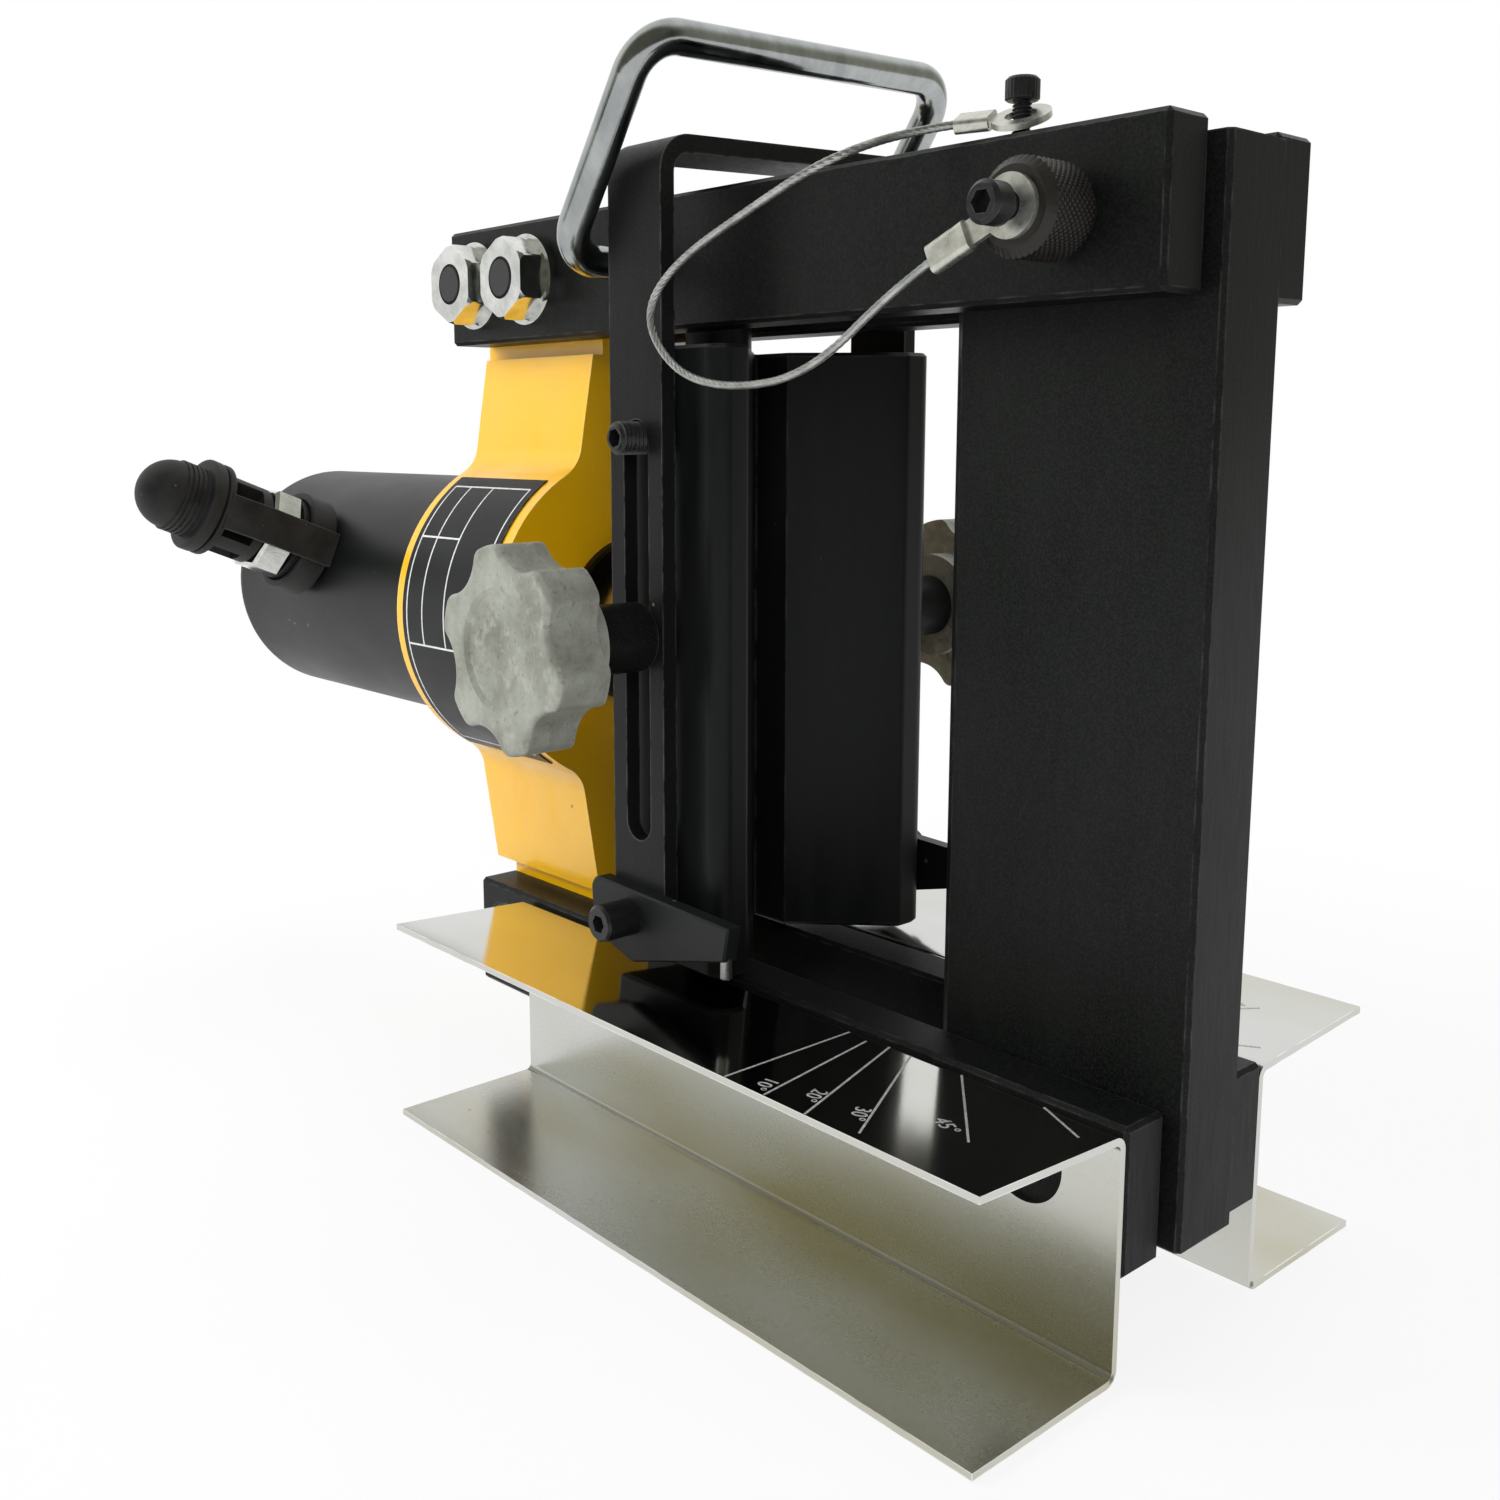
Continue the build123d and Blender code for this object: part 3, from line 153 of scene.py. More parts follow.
# The lens itself sees every wall plain white
dim = figure(tree, "MAXIMUM", dim, add(tree, "LightPath").outputs["Is Camera Ray"])
warm = figure(tree, "MULTIPLY", dim, span(tree, dim, 0.15, 1.0, 0.78, 1.0))
seen_wall = add(tree, "CombineColor", {0: dim, 1: dim, 2: warm}).outputs[0]
soft = add(tree, "Background", {"Color": (0.95, 0.98, 1.0, 1.0), "Strength": AMBIENT})
wall = add(tree, "Background", {"Color": seen_wall, "Strength": 1.0})
both = add(tree, "MixShader", {0: shown_rays(tree), 1: soft.outputs[0], 2: wall.outputs[0]})
add(tree, "OutputWorld", {"Surface": both.outputs[0]})


def soft_lamp(name, place, target, size, watts):
    lamp = bpy.data.lights.new(name, "AREA")
    lamp.shape = "DISK"
    lamp.size = size
    lamp.energy = watts
    holder = bpy.data.objects.new(name, lamp)
    holder.location = place
    aim = Vector(target) - Vector(place)
    holder.rotation_euler = aim.to_track_quat("-Z", "Y").to_euler()
    holder.visible_glossy = False
    bpy.context.scene.collection.objects.link(holder)


LAMP_TARGET = (0.0, 0.0, 0.16)
soft_lamp("lamp_key", (-1.15, -0.95, 0.80), LAMP_TARGET, size=0.9, watts=19.0)
soft_lamp("lamp_fill", (1.05, -1.00, 0.95), LAMP_TARGET, size=0.8, watts=7.0)
soft_lamp("lamp_over", (-0.1, 0.30, 1.45), LAMP_TARGET, size=0.9, watts=7.0)
bpy.context.scene.view_settings.view_transform = "Standard"


# Base channels: two lengths of 2 mm steel sheet folded to a channel, bright zinc plated.
# The plating is near a mirror on the top flange and dull lower down, where an olive tint, partly chromate
# and partly painted shade, grows toward the bottom.
def start_finish(name, **plain):
    # New finish: its node tree and the inputs of its shader, with the plain values set
    finish = bpy.data.materials.new(name)
    finish.use_nodes = True
    shader = finish.node_tree.nodes["Principled BSDF"]
    for socket, value in plain.items():
        shader.inputs[socket.replace("_", " ")].default_value = value
    return finish, finish.node_tree, shader.inputs


def tint(tree, factor, first, second):
    # Two colours mixed; each is three numbers or a socket
    first, second = [c if isinstance(c, bpy.types.NodeSocket) else (*c, 1.0)
                     for c in (first, second)]
    return add(tree, "Mix", {0: factor, 6: first, 7: second}, data_type="RGBA").outputs[2]


def new_group(name, sockets, outputs):
    group = bpy.data.node_groups.new(name, "ShaderNodeTree")
    for socket, value in sockets.items():
        item = group.interface.new_socket(socket, in_out="INPUT", socket_type="NodeSocketFloat")
        item.default_value = value
    for socket in outputs:
        group.interface.new_socket(socket, in_out="OUTPUT", socket_type="NodeSocketFloat")
    way_in = group.nodes.new("NodeGroupInput")
    way_out = group.nodes.new("NodeGroupOutput")
    return group, way_in.outputs, way_out.inputs


grain_group, given, made = new_group(
    "steel_grain", {"Scale": 60.0, "Along X": 1.0, "Along Y": 1.0, "Along Z": 1.0, "Detail": 4.0},
    ["Value"])
place = add(grain_group, "TexCoord").outputs["Object"]
pull = add(grain_group, "CombineXYZ", {0: given["Along X"], 1: given["Along Y"], 2: given["Along Z"]})
drawn = add(grain_group, "VectorMath", {0: place, 1: pull.outputs[0]}, operation="MULTIPLY")
cloud = add(grain_group, "TexNoise", {"Vector": drawn.outputs[0], "Scale": given["Scale"],
                                      "Detail": given["Detail"], "Roughness": 0.58})
grain_group.links.new(cloud.outputs[0], made["Value"])

# Edge mask: rubbed edges on most finishes; on the yellow enamel it places painted highlight glints
edge_wear_and_glint_group, given, made = new_group("edge_wear_and_glint", {"Width": 0.0008, "Break up": 140.0, "Gain": 5.0},
                                    ["Mask"])
rounded = add(edge_wear_and_glint_group, "Bevel", {"Radius": given["Width"]}, samples=5)
flat = add(edge_wear_and_glint_group, "NewGeometry").outputs["Normal"]
alike = add(edge_wear_and_glint_group, "VectorMath", {0: rounded.outputs[0], 1: flat}, operation="DOT_PRODUCT")
bend = figure(edge_wear_and_glint_group, "SUBTRACT", 1.0, alike.outputs["Value"])
bend = figure(edge_wear_and_glint_group, "MULTIPLY", bend, given["Gain"])
place = add(edge_wear_and_glint_group, "TexCoord").outputs["Object"]
patch = add(edge_wear_and_glint_group, "TexNoise", {"Vector": place, "Scale": given["Break up"], "Detail": 5.0})
patch = span(edge_wear_and_glint_group, patch.outputs[0], 0.40, 0.68)
rubbed = figure(edge_wear_and_glint_group, "MULTIPLY", bend, patch)
edge_wear_and_glint_group.links.new(span(edge_wear_and_glint_group, rubbed, 0.06, 0.6), made["Mask"])

speck_group, given, made = new_group("dust_specks", {"Scale": 260.0, "Share": 0.12, "Size": 0.22},
                                     ["Mask"])
place = add(speck_group, "TexCoord").outputs["Object"]
cells = add(speck_group, "TexVoronoi", {"Vector": place, "Scale": given["Scale"]})
chance = add(speck_group, "SeparateColor", {0: cells.outputs["Color"]})
kept = figure(speck_group, "LESS_THAN", chance.outputs[0], given["Share"])
width = figure(speck_group, "MULTIPLY", chance.outputs[1], given["Size"])
inside = figure(speck_group, "LESS_THAN", cells.outputs["Distance"], width)
speck_group.links.new(figure(speck_group, "MULTIPLY", kept, inside), made["Mask"])


def placed_group(tree, group, sockets):
    node = tree.nodes.new("ShaderNodeGroup")
    node.node_tree = group
    for key, value in sockets.items():
        node.inputs[key].default_value = value
    return node.outputs[0]


def grain(tree, scale, along=(1.0, 1.0, 1.0), detail=4.0):
    sockets = {"Scale": scale, "Detail": detail}
    sockets.update(zip(("Along X", "Along Y", "Along Z"), along))
    return placed_group(tree, grain_group, sockets)


def dimple(tree, height, strength, distance):
    bump = add(tree, "Bump", {"Height": height, "Strength": strength, "Distance": distance})
    return bump.outputs[0]


def feed(tree, shader, **sources):
    for socket, source in sources.items():
        tree.links.new(source, shader[socket.replace("_", " ")])


def dress(finish, *names):
    # A CAD node keeps its mesh and takes the finish in its material slots
    for name in names:
        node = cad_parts[name]
        if not node.material_slots:
            node.data.materials.append(finish)
        for slot in node.material_slots:
            slot.material = finish


FLANGE_FROM = 0.0640
WEB_CLEAR_OF = 0.040
WEB_OUT = 0.033
SHEET = 0.002
CREASE_DARK, CREASE_END = 0.0004, 0.0013
OLIVE_TINT_AND_SHADE = (0.50, 0.475, 0.345)
zinc_sheet, tree, shader = start_finish("zinc_sheet", Metallic=1.0)
place = add(tree, "TexCoord").outputs["Object"]
where = add(tree, "SeparateXYZ", {0: place})
on_top = figure(tree, "GREATER_THAN", where.outputs["Z"], FLANGE_FROM)
rolled = grain(tree, 36.0, (0.22, 1.0, 1.0), 4.0)
spangle = grain(tree, 700.0, (1.0, 1.0, 1.0), 2.0)
blotch = grain(tree, 14.0, (0.5, 1.0, 1.3), 2.0)
# Painted shade: the olive tint grows toward the bottom, partly the plating's chromate and partly standing
# for the shaded underside mirrored in the lower flange
low_down = span(tree, where.outputs["Z"], 0.002, 0.034, 1.0, 0.35)
olive_tint_and_shade = figure(tree, "MULTIPLY", span(tree, blotch, 0.34, 0.66), low_down)
plate = tint(tree, rolled, (0.60, 0.61, 0.59), (0.69, 0.70, 0.68))
plate = tint(tree, olive_tint_and_shade, plate, OLIVE_TINT_AND_SHADE)
rub = placed_group(tree, edge_wear_and_glint_group, {"Width": 0.0007, "Break up": 90.0, "Gain": 5.0})
off_middle = figure(tree, "ABSOLUTE", where.outputs["Y"])
off_web = figure(tree, "GREATER_THAN", off_middle, WEB_CLEAR_OF)
plate = tint(tree, figure(tree, "MULTIPLY", rub, off_web), plate, (0.92, 0.92, 0.88))
dust = placed_group(tree, speck_group, {"Scale": 260.0, "Share": 0.03, "Size": 0.14})
plate = tint(tree, figure(tree, "MULTIPLY", dust, 0.7), plate, (0.26, 0.24, 0.20))
dull = span(tree, rolled, 0.3, 0.7, 0.23, 0.29)
dull = figure(tree, "ADD", dull, span(tree, spangle, 0.3, 0.7, -0.015, 0.02))
bright = span(tree, blotch, 0.35, 0.7, 0.08, 0.14)
gloss = add(tree, "Mix", {0: on_top, 2: dull, 3: bright}).outputs[0]
# Painted shade: the inner bend between the web and the lower flange is darkened and dulled, standing for
# the shade in the crease
from_web = figure(tree, "ABSOLUTE", figure(tree, "SUBTRACT", off_middle, WEB_OUT))
from_flange = figure(tree, "ABSOLUTE", figure(tree, "SUBTRACT", where.outputs["Z"], SHEET))
from_bend = figure(tree, "MAXIMUM", from_web, from_flange)
painted_crease_shade = span(tree, from_bend, CREASE_DARK, CREASE_END, 1.0, 0.0)
plate = tint(tree, figure(tree, "MULTIPLY", painted_crease_shade, 0.7), plate, (0.10, 0.10, 0.085))
gloss = figure(tree, "ADD", gloss, figure(tree, "MULTIPLY", painted_crease_shade, 0.35))
weave = figure(tree, "MULTIPLY", spangle, span(tree, on_top, 0.0, 1.0, 1.0, 0.35))
feed(tree, shader, Base_Color=plate, Roughness=gloss, Normal=dimple(tree, weave, 0.035, 0.0003))
dress(zinc_sheet, "channel_front", "channel_rear")


# Bending scale: lines and degree numbers scribed through the plating of both top flanges.
# They fan out from under the nose, and the pointers' needles sweep over them.
FAN_LINES = [((37.6, -34.9), (42.1, -86.2)), ((45.5, -36.2), (57.1, -86.2)),
             ((52.6, -34.4), (72.0, -86.2)), ((60.7, -34.7), (88.0, -83.5)),
             ((78.2, -34.0), (107.2, -66.0)), ((104.9, -33.6), (121.4, -41.9))]
NUMBERS = [("10°", 12.0, (49.3, -77.2)), ("20°", 17.0, (61.8, -72.4)),
           ("30°", 27.0, (76.2, -72.0)), ("45°", 64.0, (92.8, -62.6))]
LINE_WIDTH = 0.62
DIGIT_HEIGHT = 6.1
MARK_PROUD, MARK_SUNK = 0.06, 0.05
DIGIT_THICK, DIGIT_LIFT = 0.05, 0.005
NUMBER_LONG, NUMBER_TALL = 1.72, 0.70
FLANGE_FOOT, FLANGE_RISE, FLANGE_INNER, FLANGE_WIDE = 66.0, 3.0, 31.0, 55.6
MM = 0.001


def flange_height(y):
    # Top face of the flange, which rises a little to its outer edge
    return FLANGE_FOOT + FLANGE_RISE * (abs(y) - FLANGE_INNER) / FLANGE_WIDE


def scribed_line(start, end, width, turn):
    # Thin bar along the flange; turn is 1 on the front flange and -1 on the rear one
    (x0, y0), (x1, y1) = start, end
    length = math.hypot(x1 - x0, y1 - y0)
    across = (-(y1 - y0) / length * width / 2, (x1 - x0) / length * width / 2)
    low, high = [], []
    for x, y in ((x0, y0), (x1, y1)):
        for side in (-1, 1):
            px, py = x + side * across[0], y + side * across[1]
            z = flange_height(py)
            low.append((px * MM, turn * py * MM, (z - MARK_SUNK) * MM))
            high.append((px * MM, turn * py * MM, (z + MARK_PROUD) * MM))
    faces = [(0, 1, 3, 2), (4, 6, 7, 5), (0, 4, 5, 1), (2, 3, 7, 6), (0, 2, 6, 4), (1, 5, 7, 3)]
    if turn < 0:
        faces = [face[::-1] for face in faces]
    return low + high, faces


def gathered(parts):
    # Points and faces of several shapes as one list of each
    points, faces = [], []
    for some_points, some_faces in parts:
        base = len(points)
        points.extend(some_points)
        faces.extend([tuple(base + i for i in face) for face in some_faces])
    return points, faces


scribed, tree, shader = start_finish("scribed_zinc", Metallic=0.35, Specular_IOR_Level=0.3)
scratch = grain(tree, 900.0, (1.0, 1.0, 1.0), 3.0)
cut = tint(tree, span(tree, scratch, 0.35, 0.65), (0.42, 0.43, 0.41), (0.72, 0.73, 0.70))
feed(tree, shader, Base_Color=cut, Roughness=span(tree, scratch, 0.3, 0.7, 0.42, 0.7),
     Normal=dimple(tree, scratch, 0.4, 0.0002))
for name, turn in (("scale_lines_front", 1), ("scale_lines_rear", -1)):
    bars = [scribed_line(inner, outer, LINE_WIDTH, turn) for inner, outer in FAN_LINES]
    lines = mesh_piece(name, *gathered(bars), scribed, smooth=False)
    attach(lines, "frame")


def stamped_number(text, lean, corner, turn):
    # Digits written outward along the flange, with their tops toward the post
    curve = bpy.data.curves.new("stamp", "FONT")
    curve.body = text
    curve.size = DIGIT_HEIGHT
    curve.extrude = DIGIT_THICK
    curve.resolution_u = 3
    stamp = bpy.data.objects.new("stamp", curve)
    bpy.context.scene.collection.objects.link(stamp)
    bpy.context.view_layer.update()
    drawn = bpy.data.meshes.new_from_object(stamp.evaluated_get(bpy.context.evaluated_depsgraph_get()))
    bpy.data.objects.remove(stamp)
    angle = math.radians(lean)
    run, rise = (math.sin(angle), -math.cos(angle)), (math.cos(angle), math.sin(angle))
    points = []
    for vertex in drawn.vertices:
        u, v, w = vertex.co
        if turn < 0:
            u, v = DIGIT_HEIGHT * NUMBER_LONG - u, DIGIT_HEIGHT * NUMBER_TALL - v
        x = corner[0] + u * run[0] + v * rise[0]
        y = corner[1] + u * run[1] + v * rise[1]
        points.append((x * MM, turn * y * MM, (flange_height(y) + w + DIGIT_LIFT) * MM))
    faces = [tuple(polygon.vertices) for polygon in drawn.polygons]
    bpy.data.meshes.remove(drawn)
    if turn < 0:
        faces = [face[::-1] for face in faces]
    return points, faces


for name, turn in (("scale_numbers_front", 1), ("scale_numbers_rear", -1)):
    stamps = [stamped_number(text, lean, corner, turn) for text, lean, corner in NUMBERS]
    digits = mesh_piece(name, *gathered(stamps), scribed, smooth=False)
    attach(digits, "frame")


# Side bars, end post and low pin: flat steel bar sawn to length, drilled and black oxided.
# The post's nose stands between the bars; the low pin and the pull pin hold the post.
RUBBED_STEEL = (0.20, 0.20, 0.19)
black_oxide, tree, shader = start_finish("black_oxide", Specular_IOR_Level=0.14)
mill = grain(tree, 34.0, (1.0, 1.0, 0.35), 5.0)
sawn = grain(tree, 620.0, (1.0, 1.0, 0.12), 3.0)
oil = grain(tree, 11.0, (1.0, 1.0, 0.6), 3.0)
rub = placed_group(tree, edge_wear_and_glint_group, {"Width": 0.0010, "Break up": 150.0, "Gain": 4.0})
dust = placed_group(tree, speck_group, {"Scale": 150.0, "Share": 0.025, "Size": 0.09})
coat = tint(tree, span(tree, mill, 0.3, 0.7), (0.0038, 0.0048, 0.0045), (0.0085, 0.0098, 0.0092))
tooth = grain(tree, 1500.0, (1.0, 1.0, 1.0), 2.0)
coat = tint(tree, span(tree, tooth, 0.42, 0.72, 0.0, 0.7), coat, (0.019, 0.020, 0.017))
coat = tint(tree, dust, coat, (0.13, 0.12, 0.095))
coat = tint(tree, figure(tree, "MULTIPLY", rub, 0.6), coat, RUBBED_STEEL)
gloss = figure(tree, "ADD", span(tree, oil, 0.3, 0.7, 0.33, 0.48), span(tree, sawn, 0.3, 0.7, -0.05, 0.05))
feed(tree, shader, Base_Color=coat, Roughness=gloss, Metallic=figure(tree, "MULTIPLY", rub, 0.6),
     Normal=dimple(tree, sawn, 0.12, 0.0003))
dress(black_oxide, "top_bar_front", "top_bar_rear", "low_bar_front", "low_bar_rear", "end_post",
      "post_low_pin")


# Bolts, washers and nuts: two 16 mm bolts clamp the top bars on the casting's upper tongue,
# and flush screws hold the low bars. Nuts and washers are bright zinc, the bolts black.
zinc_bright, tree, shader = start_finish("zinc_bright", Metallic=1.0)
haze = grain(tree, 130.0, (1.0, 1.0, 1.0), 4.0)
fine = grain(tree, 1500.0, (1.0, 1.0, 1.0), 2.0)
rub = placed_group(tree, edge_wear_and_glint_group, {"Width": 0.0007, "Break up": 220.0, "Gain": 4.0})
plate = tint(tree, span(tree, haze, 0.35, 0.65), (0.52, 0.53, 0.51), (0.76, 0.77, 0.74))
plate = tint(tree, figure(tree, "MULTIPLY", rub, 0.5), plate, (0.90, 0.90, 0.88))
feed(tree, shader, Base_Color=plate, Roughness=span(tree, haze, 0.3, 0.7, 0.08, 0.20),
     Normal=dimple(tree, fine, 0.08, 0.0002))
dress(zinc_bright, "top_nuts", "top_washers")

THREAD_PITCH = 0.0018
THREAD_FROM = -0.036
black_bolt, tree, shader = start_finish("black_bolt", Specular_IOR_Level=0.35)
place = add(tree, "TexCoord").outputs["Object"]
where = add(tree, "SeparateXYZ", {0: place})
turns = figure(tree, "MULTIPLY", where.outputs["Y"], 2 * math.pi / THREAD_PITCH)
threaded = figure(tree, "LESS_THAN", where.outputs["Y"], THREAD_FROM)
ridge = figure(tree, "MULTIPLY", figure(tree, "SINE", turns), threaded)
worn = grain(tree, 260.0, (1.0, 1.0, 1.0), 4.0)
rub = placed_group(tree, edge_wear_and_glint_group, {"Width": 0.0006, "Break up": 240.0, "Gain": 4.0})
steel = tint(tree, worn, (0.012, 0.012, 0.013), (0.036, 0.036, 0.036))
steel = tint(tree, figure(tree, "MULTIPLY", rub, 0.5), steel, (0.16, 0.16, 0.15))
feed(tree, shader, Base_Color=steel, Roughness=span(tree, worn, 0.3, 0.7, 0.34, 0.55),
     Metallic=figure(tree, "MULTIPLY", rub, 0.5), Normal=dimple(tree, ridge, 0.45, 0.0005))
dress(black_bolt, "top_bolts", "low_screws")


# Casting: one iron casting with a round barrel and two tongues, painted machine yellow.
# The enamel is thick and glossy, with an orange-peel skin, dark nicks and painted highlights: light yellow
# glints along the edges.
yellow_enamel, tree, shader = start_finish("yellow_enamel", Coat_Roughness=0.12, Specular_IOR_Level=0.5)
peel = grain(tree, 420.0, (1.0, 1.0, 1.0), 2.0)
wave = grain(tree, 28.0, (1.0, 1.0, 1.0), 4.0)
grime = grain(tree, 75.0, (1.0, 1.0, 0.4), 6.0)
painted_edge_glint = placed_group(tree, edge_wear_and_glint_group, {"Width": 0.0014, "Break up": 210.0, "Gain": 2.2})
nick = placed_group(tree, speck_group, {"Scale": 150.0, "Share": 0.05, "Size": 0.17})
paint = tint(tree, wave, (0.93, 0.470, 0.0010), (1.0, 0.555, 0.0018))
paint = tint(tree, span(tree, grime, 0.62, 0.78, 0.0, 0.45), paint, (0.52, 0.235, 0.006))
paint = tint(tree, figure(tree, "MULTIPLY", nick, 0.8), paint, (0.16, 0.085, 0.012))
# Painted highlight: light yellow glints on the edges, where the edge mask finds them
paint = tint(tree, figure(tree, "MULTIPLY", painted_edge_glint, 0.7), paint, (1.0, 0.80, 0.30))
feed(tree, shader, Base_Color=paint, Roughness=span(tree, wave, 0.3, 0.7, 0.26, 0.40),
     Coat_Weight=span(tree, grime, 0.4, 0.7, 0.75, 0.30), Normal=dimple(tree, peel, 0.16, 0.0005))
dress(yellow_enamel, "casting")


# Rating plate: a thin black film wrapped on the front of the barrel.
# It is left blank, and carries only the white ruled frame of an empty form.
BARREL_AXIS = 169.5
FILM_RADIUS = 59.55
FILM_PROUD, FILM_SUNK = 0.04, 0.03
RULE_WIDTH, RULE_STEP = 0.7, 2.5
label_film, tree, shader = start_finish("label_film", Specular_IOR_Level=0.16)
rubbing = grain(tree, 90.0, (0.4, 1.0, 1.0), 5.0)
wear = placed_group(tree, edge_wear_and_glint_group, {"Width": 0.0006, "Break up": 300.0, "Gain": 3.0})
film = tint(tree, rubbing, (0.010, 0.0105, 0.011), (0.020, 0.0205, 0.0205))
film = tint(tree, figure(tree, "MULTIPLY", wear, 0.5), film, (0.30, 0.30, 0.29))
feed(tree, shader, Base_Color=film, Roughness=span(tree, rubbing, 0.3, 0.7, 0.30, 0.46),
     Normal=dimple(tree, rubbing, 0.08, 0.0003))
dress(label_film, "rating_plate")

plate_ink, tree, shader = start_finish("plate_ink", Specular_IOR_Level=0.3)
faded = grain(tree, 500.0, (1.0, 1.0, 1.0), 4.0)
ink = tint(tree, span(tree, faded, 0.3, 0.7), (0.60, 0.61, 0.60), (0.82, 0.83, 0.82))
feed(tree, shader, Base_Color=ink, Roughness=span(tree, faded, 0.3, 0.7, 0.40, 0.60))


def film_point(x, angle, proud):
    # Angle is up from the front of the barrel, in degrees
    radius = FILM_RADIUS + proud
    turned = math.radians(angle)
    return (x * MM, -radius * math.cos(turned) * MM, (BARREL_AXIS + radius * math.sin(turned)) * MM)


def ruled_line(x0, angle0, x1, angle1):
    # A printed rule on the film, along the barrel or round it
    around = abs(angle1 - angle0) > 0.01
    steps = max(2, int(abs(angle1 - angle0) / RULE_STEP)) if around else 2
    half_x = RULE_WIDTH / 2 if around else 0.0
    half_angle = 0.0 if around else math.degrees(RULE_WIDTH / 2 / FILM_RADIUS)
    points, faces = [], []
    for step in range(steps + 1):
        share = step / steps
        x, angle = x0 + (x1 - x0) * share, angle0 + (angle1 - angle0) * share
        for side in (-1, 1):
            for proud in (-FILM_SUNK, FILM_PROUD):
                points.append(film_point(x + side * half_x, angle + side * half_angle, proud))
        if step:
            a, b = 4 * step - 4, 4 * step
            faces += [(a, a + 1, b + 1, b), (a + 1, a + 3, b + 3, b + 1),
                      (a + 3, a + 2, b + 2, b + 3), (a + 2, a, b, b + 2)]
    end = 4 * steps
    faces += [(0, 2, 3, 1), (end, end + 1, end + 3, end + 2)]
    return points, faces


FRAME_LOW, FRAME_HIGH = -51.0, 51.0
ROW_LOW, ROW_HIGH = -9.0, 29.0
EDGE_LEFT, EDGE_RIGHT = -161.5, -114.0
COLUMN_ONE, COLUMN_TWO = -151.0, -136.5
rules = [ruled_line(EDGE_LEFT, FRAME_LOW, EDGE_LEFT, FRAME_HIGH),
         ruled_line(EDGE_RIGHT, FRAME_LOW, EDGE_RIGHT, FRAME_HIGH),
         ruled_line(COLUMN_ONE, ROW_LOW, COLUMN_ONE, FRAME_HIGH),
         ruled_line(COLUMN_TWO, ROW_LOW, COLUMN_TWO, FRAME_HIGH),
         ruled_line(EDGE_LEFT, FRAME_LOW, EDGE_RIGHT, FRAME_LOW),
         ruled_line(EDGE_LEFT, FRAME_HIGH, EDGE_RIGHT, FRAME_HIGH),
         ruled_line(EDGE_LEFT, ROW_LOW, EDGE_RIGHT, ROW_LOW),
         ruled_line(EDGE_LEFT, ROW_HIGH, COLUMN_TWO, ROW_HIGH)]
plate_rules = mesh_piece("plate_rules", *gathered(rules), plate_ink, smooth=False)
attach(plate_rules, "frame")


# Cylinder: a thick steel tube with a domed end, screwed into the casting's barrel.
# It is sprayed with a satin black paint that keeps a fine grain.
satin_black, tree, shader = start_finish("satin_black", Specular_IOR_Level=0.32)
spray = grain(tree, 1100.0, (1.0, 1.0, 1.0), 2.0)
patchy = grain(tree, 22.0, (0.6, 1.0, 1.0), 4.0)
dust = placed_group(tree, speck_group, {"Scale": 240.0, "Share": 0.08, "Size": 0.18})
coat = tint(tree, patchy, (0.0048, 0.0060, 0.0055), (0.0120, 0.0140, 0.0130))
coat = tint(tree, figure(tree, "MULTIPLY", dust, 0.6), coat, (0.16, 0.16, 0.15))
feed(tree, shader, Base_Color=coat, Roughness=span(tree, patchy, 0.3, 0.7, 0.38, 0.50),
     Normal=dimple(tree, spray, 0.15, 0.0003))
dress(satin_black, "cylinder")


# Gland bush: a dark brown bronze ring screwed into the barrel's mouth to guide the ram.
# A rubber wiper ring sits in it, and the return spring works behind it.
gland_bronze, tree, shader = start_finish("gland_bronze", Metallic=1.0)
turned = grain(tree, 700.0, (4.0, 0.2, 0.2), 2.0)
tarnish = grain(tree, 60.0, (1.0, 1.0, 1.0), 4.0)
feed(tree, shader, Base_Color=tint(tree, tarnish, (0.030, 0.022, 0.014), (0.058, 0.044, 0.029)),
     Roughness=span(tree, tarnish, 0.3, 0.7, 0.34, 0.52), Normal=dimple(tree, turned, 0.15, 0.0003))
dress(gland_bronze, "gland_bush")

ground_steel, tree, shader = start_finish("ground_steel", Metallic=1.0)
lathe = grain(tree, 800.0, (5.0, 0.15, 0.15), 2.0)
film = grain(tree, 45.0, (1.0, 1.0, 1.0), 3.0)
feed(tree, shader, Base_Color=tint(tree, film, (0.50, 0.50, 0.49), (0.64, 0.64, 0.63)),
     Roughness=span(tree, film, 0.3, 0.7, 0.14, 0.26), Normal=dimple(tree, lathe, 0.08, 0.0002))
dress(ground_steel, "ram", "piston")

seal_rubber, tree, shader = start_finish("seal_rubber", Specular_IOR_Level=0.35)
skin = grain(tree, 900.0, (1.0, 1.0, 1.0), 3.0)
feed(tree, shader, Base_Color=tint(tree, skin, (0.012, 0.012, 0.012), (0.026, 0.026, 0.027)),
     Roughness=span(tree, skin, 0.3, 0.7, 0.45, 0.62), Normal=dimple(tree, skin, 0.12, 0.0002))
dress(seal_rubber, "piston_seal", "ram_wiper")


# Return spring: round spring wire coiled on the ram inside the tube.
# It pushes the ram home, so it is shortest when the ram is out.
coil = bpy.data.objects.new("return_coil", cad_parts["return_spring"].data.copy())
bpy.context.scene.collection.objects.link(coil)
spring_wire, tree, shader = start_finish("spring_wire", Metallic=1.0)
drawn_wire = grain(tree, 500.0, (1.0, 1.0, 1.0), 3.0)
feed(tree, shader, Base_Color=tint(tree, drawn_wire, (0.16, 0.16, 0.17), (0.30, 0.30, 0.30)),
     Roughness=span(tree, drawn_wire, 0.3, 0.7, 0.28, 0.44))
coil.data.materials.clear()
coil.data.materials.append(spring_wire)
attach(coil, "frame")
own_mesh(coil)
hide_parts("return_spring")


